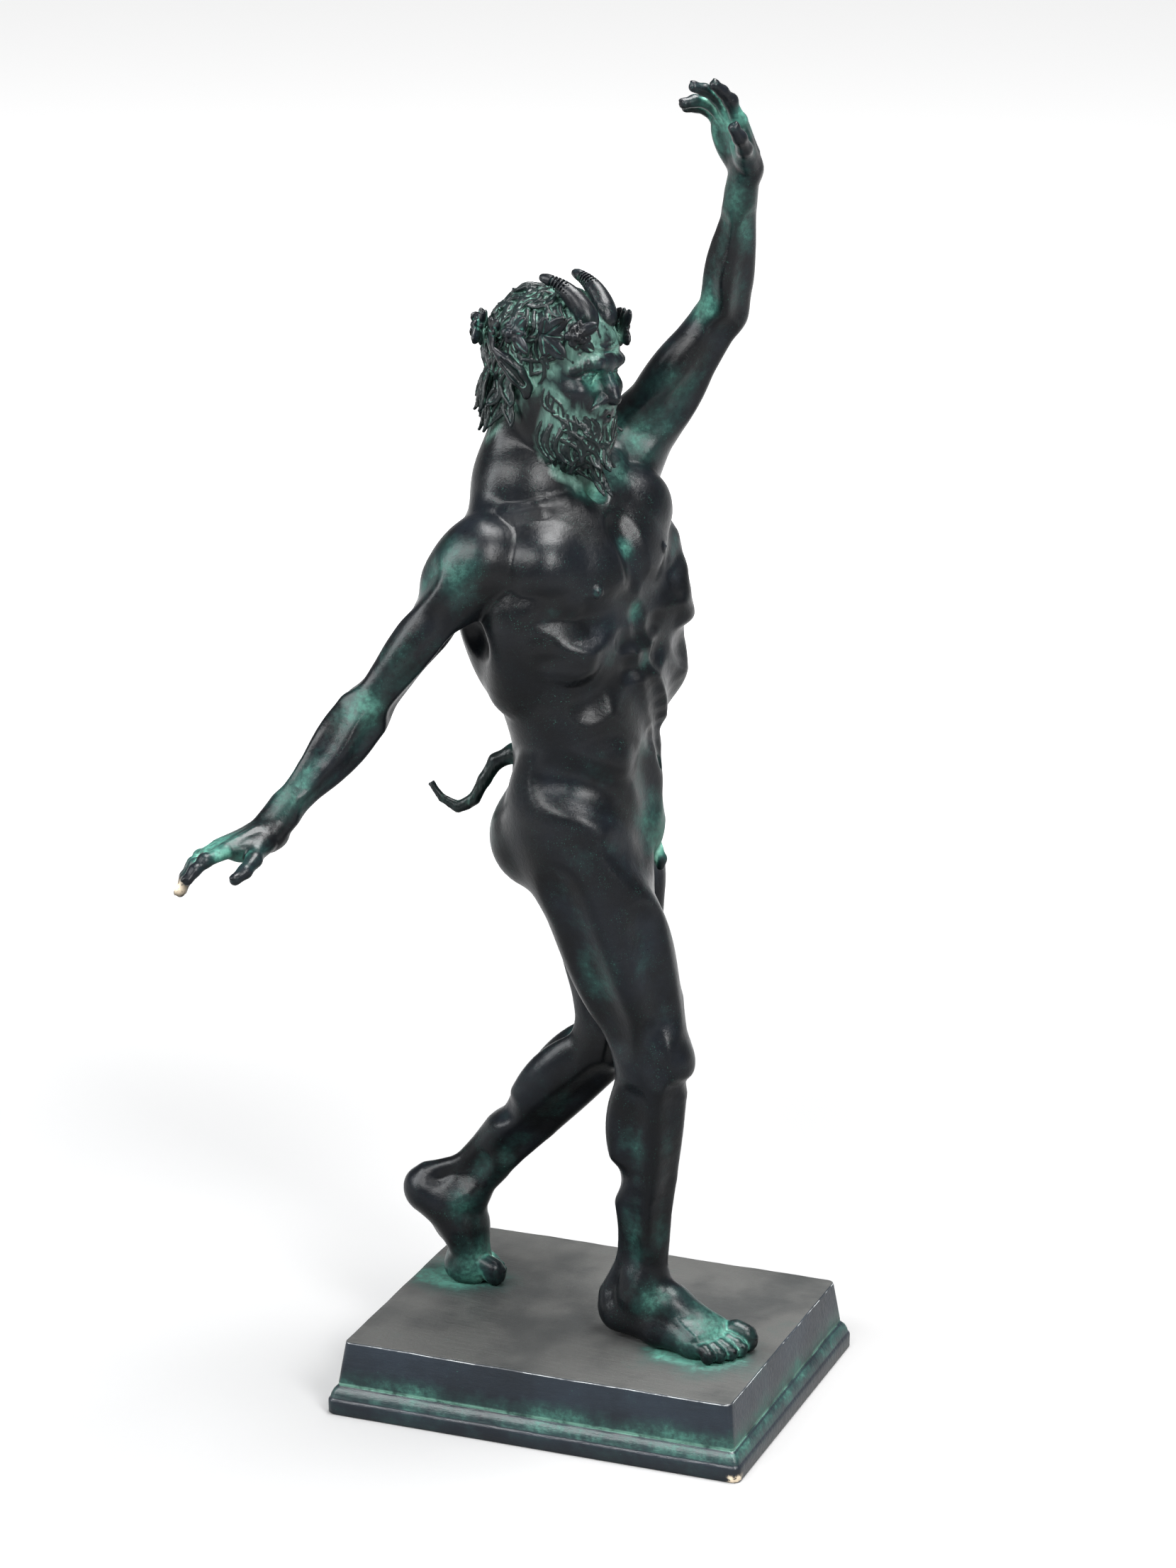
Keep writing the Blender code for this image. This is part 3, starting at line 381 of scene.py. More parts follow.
class Faun:
    """The pose and every volume of the figure, given to a Clay."""

    def __init__(self, body_voxel, head_voxel):
        self.green = []
        self.deep = []
        self.chips = []
        self.hairline = []
        top = PLINTH_HEIGHT + CONTACT_GAP
        self.pelvis = turned(8, 4, -4)
        self.pelvis_at = Vector((-4 * MM, 0, top + 322 * MM))
        self.chest = turned(-20, -9, 8)
        self.chest_at = self.pelvis_at + Vector((-7, -3, 134)) * MM
        self.head = turned(-16, 2, -4)
        self.head_at = self.chest_at + Vector((-6, -10, 128)) * MM
        self.head_middle = self.face_at(2, 0, -8)
        middle = np.array(self.head_middle)
        half = np.full(3, HEAD_RADIUS + SEAM + 4 * head_voxel)
        self.clay = Clay(*BODY_GRID, body_voxel)
        self.head_clay = Clay(middle - half, middle + half, head_voxel)
        self.hip = {s: self.low(0, 33 * s, 0) for s in SIDES}
        self.sole = {-1: Vector((84 * MM, -30 * MM, top)), 1: Vector((-92 * MM, 22 * MM, top))}
        heel_lift = {-1: 4.0, 1: 54.0}
        self.toe = {s: turned(9 * s, 0, 0) for s in SIDES}
        self.rear = {s: self.toe[s] @ Matrix.Rotation(math.radians(heel_lift[s]), 3, "Y") for s in SIDES}
        self.ankle = {s: self.sole[s] + self.rear[s] @ Vector((-45, 0, 27)) * MM for s in SIDES}
        self.knee = {s: middle_joint(self.hip[s], self.ankle[s], THIGH, SHANK, (1, 0.10 * s, 0))
                     for s in SIDES}
        self.shoulder = {1: self.up(-3, 59, 50), -1: self.up(-5, -62, 38)}
        upper_arm = {1: Vector((0.50, 0.22, 0.83)), -1: Vector((-0.52, -0.33, -0.79))}
        forearm = {1: Vector((0.22, -0.22, 0.95)), -1: Vector((-0.36, -0.58, -0.60))}
        self.elbow = {s: self.shoulder[s] + upper_arm[s].normalized() * UPPER_ARM for s in SIDES}
        self.wrist = {s: self.elbow[s] + forearm[s].normalized() * FOREARM for s in SIDES}

    def place(self, frame, origin, x, y, z):
        return origin + frame @ Vector((x, y, z)) * MM

    def low(self, x, y, z):
        return self.place(self.pelvis, self.pelvis_at, x, y, z)

    def up(self, x, y, z):
        return self.place(self.chest, self.chest_at, x, y, z)

    def face_at(self, x, y, z):
        return self.place(self.head, self.head_at, x, y, z)

    def ball(self, centre, radii, frame, blend, cut=False):
        for clay in (self.clay, self.head_clay):
            clay.ball(centre, Vector(radii) * MM, frame, blend * MM, cut)

    def tube(self, points, radii, blend, cut=False):
        for clay in (self.clay, self.head_clay):
            clay.tube([Vector(p) for p in points], [r * MM for r in radii], blend * MM, cut)

    def limb(self, start, end, hint, sections, blend):
        """Each section: share of the length, half width along the hint, half depth, shift on each."""
        rows = [(t, *[v * MM for v in sizes]) for t, *sizes in sections]
        for clay in (self.clay, self.head_clay):
            clay.limb(start, end, axes(end - start, hint), rows, blend * MM)

    def balls(self, at, frame, rows):
        """Each row: place, radii and blend."""
        for place, radii, blend in rows:
            self.ball(at(*place), radii, frame, blend)

    def patina(self, place, reach, strength):
        """Marks a spot with a dry wash of green: reach in millimetres, strength from 0 to 1."""
        self.green.append((Vector(place), reach * MM, strength))

    def deposit(self, place, reach, strength):
        """Marks a spot where the green has stayed in every furrow."""
        self.deep.append((Vector(place), reach * MM, strength))

    def build(self):
        self.torso()
        self.neck()
        for s in SIDES:
            self.leg(s)
            self.arm(s)
        self.trunk_relief()
        for s in SIDES:
            self.leg_relief(s)
            self.arm_relief(s)
        self.hollows()
        for s in SIDES:
            self.foot(s)
            self.hand(s)
        self.face()
        self.ears()
        self.beard()
        self.hair()
        self.horns()
        self.wreath()
        self.tail()
        self.loins()
        self.clay.floor(PLINTH_HEIGHT + CONTACT_GAP)

    def torso(self):
        P, C, low, up = self.pelvis, self.chest, self.low, self.up
        self.limb(low(0, 0, -16), up(0, 0, -36), P @ Vector((0, 1, 0)),
                  [(0, 48, 34, 0, 0), (0.2, 54, 38, 0, 0), (0.42, 52.5, 37.5, 0, 0), (0.7, 49, 35.5, 0, 0),
                   (1, 52, 37, 0, 0)], 12)
        self.limb(up(0, 0, -54), up(-6, 0, 60), C @ Vector((0, 1, 0)),
                  [(0, 50, 36, 0, 0), (0.25, 55, 40, 0, 0), (0.5, 59.5, 43, 0, 0), (0.72, 58.5, 40, 0, 0),
                   (0.88, 48, 32, 0, 0), (1, 34, 24, 0, 0)], 24)
        for s in SIDES:
            lift = 9 if s == 1 else 0
            # Chest muscle from the breastbone to the armpit
            self.ball(up(32.5, 21 * s, 14 + lift * 0.6), (13.5, 25, 20.5), C @ roll(14 * s) @ yaw(18 * s), 6)
            self.ball(up(22, 42 * s, 25 + lift), (14, 17, 16), C, 12)
            # Arch of the ribs
            self.ball(up(22, 27 * s, -28), (18 - s, 20, 22), C @ roll(22 * s), 12)
            # Broad back muscle, shoulder blade and the long muscles beside the spine
            self.ball(up(-18, 37 * s, 0), (20, 23, 50), C @ roll(10 * s), 16)
            self.ball(up(-31, 31 * s, 26 + lift), (13, 20, 23), C @ roll(-10 * s), 8)
            self.tube([up(-33, 11 * s, 44), up(-33, 11 * s, 0), low(-27, 12 * s, 62), low(-30, 10 * s, 28)],
                      (9, 10, 10, 7), 8)
            # Flank above the hip bone and buttock
            self.ball(low(4, 40.5 * s, 38), (24, 14, 17), P @ roll(-10 * s), 10)
            self.ball(low(-22, 23 * s, -16), (27, 25, 30), P, 9)
            # Belly muscles
            self.ball(low(31.5, 9.5 * s, 44), (8, 11.5, 18), P, 8)
            self.ball(low(28, 9 * s, 14), (11, 14, 20), P, 12)
        self.ball(low(29, 0, -10), (13, 20, 16), P, 14)

    def skin(self, origin, way, rise=0.0, limit=75):
        """The point where a ray out of the body leaves it, moved outward by rise millimetres.
        Nothing comes back where the ray runs on into another limb, past the limit."""
        way = Vector(way).normalized()
        steps = np.arange(0, limit * MM, self.clay.voxel * 0.5)
        values = self.clay.sample(np.array(origin)[None, :] + steps[:, None] * np.array(way)[None, :])
        outside = np.flatnonzero(values > 0)
        if len(outside) == 0:
            return None
        return Vector(origin) + way * (float(steps[outside[0]]) + rise * MM)

    def traced(self, rays, rise, limit=75):
        """A smooth line over the places where the rays leave the body."""
        points = [self.skin(origin, way, rise, limit) for origin, way in rays]
        points = [p for p in points if p is not None]
        return smooth_line(points) if len(points) > 1 else []

    def groove(self, rays, radius, depth, blend, limit=75):
        """A soft furrow pressed into the surface through the points where the rays leave it."""
        line = self.traced(rays, radius - depth, limit)
        if line:
            self.tube(line, [radius] * len(line), blend, cut=True)

    def ridge(self, rays, radius, rise, blend):
        """A soft ridge laid on the surface through the points where the rays leave it."""
        line = self.traced(rays, rise - radius)
        if line:
            taper = [radius * (0.55 + 0.45 * math.sin(math.pi * (0.12 + 0.76 * i / (len(line) - 1))))
                     for i in range(len(line))]
            self.tube(line, taper, blend)

    def on_chest(self, angle, z):
        """Ray out of the chest: angle from the front in degrees, height above its centre."""
        a = math.radians(angle)
        return self.up(0, 0, z), self.chest @ Vector((math.cos(a), math.sin(a), 0))

    def on_hips(self, angle, z):
        a = math.radians(angle)
        return self.low(0, 0, z), self.pelvis @ Vector((math.cos(a), math.sin(a), 0))

    def trunk_relief(self):
        """Muscle edges of chest, belly, flank and back."""
        chest, hips = self.on_chest, self.on_hips
        for s in SIDES:
            lift = 6 if s == 1 else 0
            # Saw muscles on the ribs
            for i in range(4):
                z = 2 - 12 * i
                self.ridge([chest((50 - 1.5 * i) * s, z - 4), chest((60 - 1.5 * i) * s, z),
                            chest((72 - i) * s, z + 4)], 6.0, 1.7, 6)
            # Front edge of the broad back muscle
            self.ridge([chest(86 * s, 26 + lift), chest(82 * s, 4), chest(86 * s, -22), chest(98 * s, -46)],
                       9, 1.8, 13)
            for marks, radius, depth, blend in (
                    # Lower edge of the chest muscle, and the arch of the ribs
                    (((chest, 8, -8), (chest, 24, -13), (chest, 42, -10 + lift), (chest, 58, 2 + lift)),
                     7.5, 1.8, 9),
                    (((chest, 7, -20), (chest, 20, -31), (chest, 36, -46), (chest, 50, -56)), 8, 1.9, 10),
                    # Outer edge of the straight belly muscle, and the bars across it
                    (((chest, 21, -44), (chest, 23, -58), (hips, 23, 56), (hips, 24, 32), (hips, 20, 10)),
                     8, 1.4, 11),
                    (((chest, 1.5, -31), (chest, 11, -31.5), (chest, 19, -30)), 4.2, 1.2, 6),
                    (((chest, 1.5, -48), (chest, 11, -48.5), (chest, 19, -47)), 4.2, 1.2, 6),
                    (((hips, 1.5, 47), (hips, 12, 47), (hips, 20, 49)), 4.2, 1.0, 6),
                    # Edge of the hip bone, and the groin line from it
                    (((hips, 96, 28), (hips, 82, 26), (hips, 64, 19), (hips, 44, 6), (hips, 30, -10)),
                     6.5, 1.2, 13),
                    # Inner edge of the shoulder blade
                    (((chest, 156, 44 + lift), (chest, 157, 24 + lift), (chest, 146, lift)), 9, 1.8, 12)):
                self.groove([part(angle * s, z) for part, angle, z in marks], radius, depth, blend)
        # Middle lines of the chest, the belly and the back, and the cleft
        for marks, radius, depth, blend in (
                (((chest, 0, 36), (chest, 0, 20), (chest, 0, 2)), 5, 1.2, 8),
                (((chest, 0, -18), (chest, 0, -40), (chest, 0, -60), (hips, 0, 50), (hips, 0, 38)),
                 4.5, 1.2, 6),
                (((chest, 180, 56), (chest, 180, 20), (chest, 180, -30), (hips, 180, 55), (hips, 180, 26)),
                 8, 2.4, 12),
                (((hips, 180, -4), (hips, 180, -14), (hips, 180, -28)), 3.2, 4.0, 5)):
            self.groove([part(angle, z) for part, angle, z in marks], radius, depth, blend)

    def hollows(self):
        """Navel, pit of the neck and nipples."""
        C, P = self.chest, self.pelvis
        navel = self.skin(*self.on_hips(0, 31), -0.3)
        self.ball(navel, (3.4, 2.1, 3.2), P, 2.5, cut=True)
        for s in SIDES:
            lift = 9 if s == 1 else 0
            nipple = self.skin(*self.on_chest(34 * s, 6 + lift * 0.6), -0.6)
            self.ball(nipple, (1.3, 3.6, 3.6), C @ yaw(34 * s), 1.2)
            self.ball(nipple + C @ yaw(34 * s) @ Vector((0.9, 0, 0)) * MM, (1.3, 1.1, 1.1), C, 0.6)

    def neck(self):
        up, at = self.up, self.face_at
        self.limb(up(-8, 0, 54), at(-8, 0, -18), self.head @ Vector((1, 0, 0)),
                  [(0, 24, 25, 0, 0), (0.4, 21, 21.5, 0, 0), (1, 22, 21, 0, 0)], 9)
        self.ball(at(11, 0, -50), (4, 3.5, 6), self.head, 8)
        for s in SIDES:
            lift = 7 if s == 1 else 0
            # Muscle from behind the ear to the pit of the neck
            self.tube([at(-6, 22 * s, -16), up(12, 12 * s, 66), up(24.5, 5 * s, 52)], (6.5, 6, 4), 4)
            # Cape muscle to the shoulder, then the collar bone
            self.tube([at(-18, 10 * s, -28), up(-17, 22 * s, 54 + lift * 0.7),
                       self.shoulder[s] + Vector((0, 0, 9)) * MM], (9.5, 10.5, 9), 13)
            self.tube([up(27, 6 * s, 49), up(23, 20 * s, 51), up(19, 34 * s, 54 + lift * 0.7),
                       up(7, 47 * s, 55 + lift)], (4.2, 3.6, 3.6, 4), 6)
        self.ball(up(33, 0, 55), (6, 4.5, 5), self.chest, 5, cut=True)

    def leg_frame(self, s):
        """Ends of the thigh and of the shank, each with its front and outer directions."""
        front = Vector((1, 0.12 * s, 0.1))
        frames = []
        for start, end in ((self.hip[s], self.knee[s]), (self.knee[s], self.ankle[s])):
            frame = axes(end - start, front)
            outer = frame @ Vector((0, 0, 1))
            frames.append((start, end, frame @ Vector((0, 1, 0)), outer if outer.y * s > 0 else -outer))
        return frames

    def leg(self, s):
        thigh, shin = self.leg_frame(s)
        hip, knee, ahead, outer = thigh
        ankle, forward = shin[1:3]
        on_thigh = along_bone(hip, knee, outer, ahead)
        self.limb(hip, knee, ahead,
                  [(0, 36.5, 34.5, -1, 0), (0.18, 36.5, 34, 0, 0), (0.42, 32.5, 30.5, 2, 0),
                   (0.66, 27.5, 25.5, 2, 0), (0.86, 22.8, 21.8, 1, 0), (1, 20.5, 20, 0, 0)], 8)
        self.balls(on_thigh, columns((knee - hip).normalized(), outer, ahead), (
            ((0.50, 13, 9), (48, 13.5, 17), 7), ((0.44, 1, 19), (50, 12, 12), 7),
            ((0.79, -12, 9), (22, 10.5, 11.5), 6), ((0.50, 2, -15), (50, 18, 15), 8),
            ((0.20, -15, -2), (38, 15, 22), 8), ((-0.02, 14, -2), (38, 13.5, 24), 12)))
        # Knee cap, knuckles of the thigh bone and tendon
        shank = (ankle - knee).normalized()
        knee_front = (ahead + forward).normalized()
        cap = columns(shank, outer, knee_front)
        self.ball(knee + knee_front * 17 * MM, (9.5, 8.5, 6), cap, 4)
        self.ball(knee + outer * 9 * MM + knee_front * 4 * MM, (12, 10.5, 13), cap, 5)
        self.ball(knee - outer * 9 * MM + knee_front * 4 * MM, (13, 11, 13), cap, 5)
        self.tube([knee + knee_front * 15 * MM, knee + shank * 20 * MM + knee_front * 13 * MM], (5, 4.2), 4)
        # Lower leg: loft, calf heads, shin muscle, shin bone, ankle knuckles
        on_shank = along_bone(knee, ankle, outer, forward)
        lower = columns(shank, outer, forward)
        self.limb(knee, ankle, forward,
                  [(0, 20.5, 19.5, 0, 0), (0.12, 20, 19, -1, 0), (0.30, 20.5, 19, -3, 0),
                   (0.50, 17.8, 16.2, -3, 0), (0.70, 13.4, 12.2, -1, 0), (0.88, 11.7, 10, 0, 0),
                   (1, 12.2, 10.6, 0, 0)], 7)
        self.balls(on_shank, lower, (
            ((0.30, -8, -12.5), (31, 11, 12), 6), ((0.27, 8, -12.5), (28, 10.5, 11), 6),
            ((0.55, 0, -9.5), (30, 12.5, 8.5), 7), ((0.30, 7.5, 8), (38, 7.5, 8.5), 6),
            ((0.06, 0, 15), (7, 6, 5), 4)))
        self.tube([on_shank(0.1, -3, 12), on_shank(0.5, -3, 9), on_shank(0.9, -3, 6)], (5, 4, 4), 5)
        self.balls(on_shank, lower, (((0.99, 10, -1), (6.5, 4.5, 6), 4), ((0.96, -10, 1), (7, 4.5, 6.5), 4)))

    def around(self, bone, t, angle):
        """Ray out of a limb: share of its length, angle from its front toward its outer side."""
        start, end, ahead, outer = bone
        a = math.radians(angle)
        return start + (end - start) * t, ahead * math.cos(a) + outer * math.sin(a)

    def leg_relief(self, s):
        """Furrows of the leg. Each mark: bone, share of its length, angle from its front outward."""
        thigh, shank = self.leg_frame(s)
        for marks, radius, depth, blend in (
                # Thigh: tailor's muscle, outer band, line between the front heads, hamstrings
                (((thigh, 0.14, 20), (thigh, 0.34, -22), (thigh, 0.58, -56), (thigh, 0.84, -84)),
                 9, 1.9, 12),
                (((thigh, 0.22, 96), (thigh, 0.50, 100), (thigh, 0.84, 106)), 9, 1.9, 12),
                (((thigh, 0.46, 26), (thigh, 0.66, 30), (thigh, 0.84, 28)), 8, 1.5, 11),
                (((thigh, 0.50, 180), (thigh, 0.72, 184), (thigh, 0.94, 180)), 7, 2.0, 9),
                # Knee: hollows beside the cap and below it
                (((thigh, 0.86, 48), (thigh, 0.94, 60), (shank, 0.03, 58)), 5.5, 2.0, 6),
                (((thigh, 0.86, -46), (thigh, 0.95, -58), (shank, 0.04, -56)), 5.5, 2.0, 6),
                (((shank, 0.075, 34), (shank, 0.085, 0), (shank, 0.075, -34)), 4, 1.0, 5),
                # Shank: edges of the shin bone, outer muscle, two calf heads and their lower end
                (((shank, 0.16, 28), (shank, 0.42, 24), (shank, 0.72, 20)), 6, 1.0, 9),
                (((shank, 0.14, -54), (shank, 0.36, -64), (shank, 0.66, -72)), 7, 1.8, 9),
                (((shank, 0.14, 100), (shank, 0.40, 104), (shank, 0.70, 110)), 7, 1.8, 9),
                (((shank, 0.10, 180), (shank, 0.28, 178), (shank, 0.46, 180)), 6, 1.8, 8),
                (((shank, 0.50, 136), (shank, 0.56, 180), (shank, 0.53, 224)), 6, 1.5, 8),
                (((shank, 0.78, 110), (shank, 0.88, 110), (shank, 0.97, 110)), 5, 2.2, 6),
                (((shank, 0.78, 250), (shank, 0.88, 250), (shank, 0.97, 250)), 5, 2.2, 6)):
            self.groove([self.around(*mark) for mark in marks], radius, depth, blend)

    def foot(self, s):
        """The rear of the foot is lifted about the ball; the toes stay flat on the plinth."""
        toe, rear = self.toe[s], self.rear[s]

        def at_rear(x, y, z):
            return self.sole[s] + rear @ Vector((x, y * s, z)) * MM

        def at_toe(x, y, z):
            return self.sole[s] + toe @ Vector((x, y * s, z)) * MM

        self.ball(at_rear(-60, 0, 12), (13.5, 11.5, 12.5), rear, 6)
        for points, radii in (
                (((-45, 0, 33), (-44, 0, 22), (-28, -1, 20), (-10, -2, 13)), (13, 13.5, 12.5, 10)),
                (((-58, 4, 9), (-30, 8, 8.5), (-4, 9, 7.5)), (9, 8.5, 7.5)),
                (((-56, -3, 12), (-30, -7, 18), (-2, -8, 10)), (9, 8.5, 8))):
            self.tube([at_rear(*p) for p in points], radii, 7)
        # Heel cord
        knee = self.knee[s]
        shank = self.ankle[s] - knee
        back = axes(shank, toe @ Vector((1, 0, 0.2))) @ Vector((0, -1, 0))
        self.tube([knee + shank * 0.66 + back * 12 * MM, knee + shank * 0.88 + back * 13.5 * MM,
                   at_rear(-67, 0, 20)], (5, 4.2, 6), 5)
        # Ball of the foot, tendons, then the toes from the great toe outward: side, length, radius
        self.balls(at_toe, toe, (((0, -8.5, 8.5), (11, 9.5, 8.5), 5), ((-3, 9, 7), (10, 8.5, 7), 5),
                                 ((-2, 1, 9), (11, 11, 7.5), 6)))
        toes = ((-10.5, 27, 6.4), (-2.2, 25.5, 4.5), (4.4, 22.5, 4.2), (10.4, 18.5, 4.0), (15.6, 13.5, 3.9))
        for side, *_ in toes:
            self.tube([at_rear(-34, side * 0.3, 28), at_rear(-16, side * 0.6, 22.5 - 0.25 * abs(side)),
                       at_toe(0, side * 0.9, 14)], (1.5, 1.4, 1.6), 3)
        nail = toe @ Matrix.Rotation(math.radians(24), 3, "Y")
        for side, length, radius in toes:
            spread = 1 + 0.004 * length
            tip = at_toe(length - radius, side * spread, radius * 1.02)
            self.tube([at_toe(0, side * 0.92, 8), at_toe(0.5 * length, side, radius * 1.75 + 1.2),
                       at_toe(0.72 * length, side * spread, radius * 1.55), tip],
                      (radius, radius * 0.92, radius * 0.95, radius), 1.6)
            self.ball(tip + nail @ Vector((0.2 * radius, 0, 0.86 * radius)) * MM,
                      (0.62 * radius, 0.56 * radius, 0.32 * radius), nail, 0.4)

    def arm_frame(self, s):
        """Ends of the upper arm and of the forearm, each with its front and outer directions."""
        shoulder, elbow, wrist = self.shoulder[s], self.elbow[s], self.wrist[s]
        across = (elbow - shoulder).cross(wrist - elbow).normalized()
        front = across.cross(elbow - shoulder).normalized()
        ahead = axes(wrist - elbow, front) @ Vector((0, 1, 0))
        return (shoulder, elbow, front, across), (elbow, wrist, ahead, across)

    def arm(self, s):
        (shoulder, elbow, front, across), (_, wrist, ahead, _) = self.arm_frame(s)
        upper = columns((elbow - shoulder).normalized(), across, front)
        on_upper = along_bone(shoulder, elbow, across, front)
        self.limb(shoulder, elbow, front, [(0, 19, 18, 0, 0), (0.3, 18.5, 17, 0, 0), (0.6, 17, 15, 0, 0),
                                           (0.85, 14, 13.8, 0, 0), (1, 12.5, 13.5, 0, 0)], 7)
        self.balls(on_upper, upper, (((0.55, 0, 7.5), (30, 12, 11), 5), ((0.42, 0, -8), (34, 13.5, 12), 5)))
        self.ball(elbow - front * 8 * MM, (8, 7, 6.5), upper, 5)
        # Shoulder cap
        out = self.chest @ Vector((0, s, 0))
        over = out + Vector((0, 0, 0.5)) if s == -1 else out * 0.6 + self.chest @ Vector((-0.3, 0, 0.5))
        over.normalize()
        cap = axes(elbow - shoulder, over)
        self.ball(shoulder + (elbow - shoulder) * 0.16 + over * 5 * MM, (30, 17, 20), cap, 7)
        self.ball(shoulder + (elbow - shoulder) * 0.05, (22, 21, 21), cap, 9)
        # Forearm
        on_forearm = along_bone(elbow, wrist, across, ahead)
        self.limb(elbow, wrist, across,
                  [(0, 13.5, 12.5, 0, 0), (0.2, 15.5, 14, 0, 0), (0.45, 13.5, 12.4, 0, 0),
                   (0.72, 10.4, 9.2, 0, 0), (0.9, 9.6, 7.7, 0, 0), (1, 9.8, 7.2, 0, 0)], 6)
        self.balls(on_forearm, columns((wrist - elbow).normalized(), across, ahead), (
            ((0.17, 5, 6), (28, 9, 9), 5), ((0.25, -6, 0), (30, 9, 9.5), 5),
            ((0.95, -7, -4), (6, 4.5, 4.5), 3)))
        self.patina(on_upper(0.97, 0, 14), 12, 0.75)
        self.patina(on_forearm(0.55, 6, 6), 13, 0.35)

    def arm_relief(self, s):
        """Furrows of the arm, with the same marks as the leg's."""
        upper, fore = self.arm_frame(s)
        for marks, *size in (
                # Point of the shoulder cap, then the furrows beside the biceps
                (((upper, 0.26, 50), (upper, 0.38, 70), (upper, 0.46, 92)), 7, 1.4, 9, 30),
                (((upper, 0.26, 230), (upper, 0.38, 250), (upper, 0.46, 272)), 7, 1.4, 9, 30),
                (((upper, 0.50, 92), (upper, 0.70, 92), (upper, 0.92, 92 * 0.9)), 6.5, 1.8, 8, 26),
                (((upper, 0.50, -92), (upper, 0.70, -92), (upper, 0.92, -92 * 0.9)), 6.5, 1.8, 8, 26),
                # Forearm
                (((fore, 0.08, 100), (fore, 0.30, 96), (fore, 0.66, 100)), 6, 1.5, 8),
                (((fore, 0.10, -50), (fore, 0.34, -62), (fore, 0.70, -70)), 6, 1.5, 8),
                (((fore, 0.10, 30), (fore, 0.26, 14), (fore, 0.62, 4)), 5, 1.2, 7)):
            self.groove([self.around(*mark) for mark in marks], *size)

    def hand(self, s):
        if s == 1:
            way = Vector((-0.30, -0.30, 1.0))
            palm = Vector((-0.55, -0.80, -0.25))
            thumb_way = Vector((1, 0.2, 0))
            curls = ((8, 14, 10), (16, 22, 12), (24, 34, 18), (20, 30, 16))
            fans = (9, 2, -4, -12)
        else:
            way = Vector((-0.62, -0.72, -0.16))
            palm = Vector((0.05, -0.30, -0.95))
            thumb_way = Vector((1, -0.4, 0))
            curls = ((4, 16, 12), (12, 22, 14), (14, 26, 16), (8, 20, 14))
            fans = (10, 3, -4, -13)
        way.normalize()
        basis = axes(way, palm)
        normal = basis @ Vector((0, 1, 0))
        side = basis @ Vector((0, 0, 1))
        if side.dot(thumb_way) < 0:
            side = -side
        frame = columns(way, side, normal)

        def at(x, y, z):
            return self.wrist[s] + frame @ Vector((x, y, z)) * MM

        self.limb(at(-2, 0, 0), at(31, 0, 0), side,
                  [(0, 9.5, 7.5, 0, 0), (0.35, 12, 7, 0, 0), (0.75, 14.2, 5.8, 0, 0),
                   (1, 13.6, 4.8, 0, 0)], 4)
        self.balls(at, frame, (((12, 9, 4), (13, 6.5, 6), 4), ((14, -9, 3), (14, 5, 5), 4)))
        self.ball(at(21, -1, 8.5), (9, 6, 3), frame, 4, cut=True)
        # Fingers from the index to the little finger: base, three bone lengths, curls and fan angle
        bases = ((32, 10.4), (34, 3.6), (32.5, -3.4), (29, -9.8))
        bones = ((13.5, 8.5, 7), (15, 9.5, 7.5), (14, 9, 7), (10.5, 7, 6.5))
        for (x, y), lengths, bends, fan in zip(bases, bones, curls, fans):
            turn = math.radians(fan)
            direction = frame @ Vector((math.cos(turn), math.sin(turn), 0))
            hinge = direction.cross(normal).normalized()
            points = [at(x - 3, y, 0)]
            angle = 0
            radius = 3.7 if y > -8 else 3.2
            self.tube([at(6, y * 0.55, -6.2), at(x - 4, y, -3.4)], (1.2, 1.5), 3)
            for length, bend in zip(lengths, bends):
                angle += bend
                step = Matrix.Rotation(math.radians(angle), 3, hinge) @ direction
                points.append(points[-1] + step * length * MM)
            self.tube(points, (radius * 1.08, radius, radius * 0.93, radius * 0.82), 1.4)
            # Knuckles and nail
            out = hinge.cross(step).normalized()
            if out.dot(normal) > 0:
                out = -out
            for joint in points[:2]:
                self.ball(joint - normal * 0.8 * MM, (radius * 1.05,) * 3, frame, 2)
            self.nail(points[-1], step, out, radius * 0.82)
            # The middle fingers of the lowered hand are chipped
            if s == -1 and fan in fans[1:3]:
                self.chips.append((points[-1] - normal * 2 * MM, 3.2 * MM, 1.0))
        # Thumb
        points = [at(7, 8, 3)]
        for length, way_on in ((15, (0.62, 0.72, 0.34)), (11.5, (0.80, 0.52, 0.32)),
                               (8, (0.93, 0.22, 0.30))):
            step = (frame @ Vector(way_on)).normalized()
            points.append(points[-1] + step * length * MM)
        self.tube(points, (5.6, 4.4, 4.0, 3.3), 2.5)
        self.nail(points[-1], step, (-normal + side * 0.5).normalized(), 3.4)
        self.patina(at(24, 0, 6), 17, 0.5)
        self.patina(at(45, 0, 8), 13, 0.3)
        self.deposit(at(36, 0, 4), 34, 0.8)

    def nail(self, tip, along, out, radius):
        frame = axes(along, out)
        self.ball(tip + along * 0.1 * radius * MM + frame @ Vector((0, 0.82 * radius, 0)) * MM,
                  (0.95 * radius, 0.34 * radius, 0.62 * radius), frame, 0.35)

    def face(self):
        H, at = self.head, self.face_at
        self.balls(at, H, (((-6, 0, 10), (37, 29, 33), 6), ((10, 0, -8), (24, 23.5, 30), 10),
                           ((13, 0, -29), (18, 17, 13), 9), ((20, 0, 15), (13, 21, 15), 8)))
        for s in SIDES:
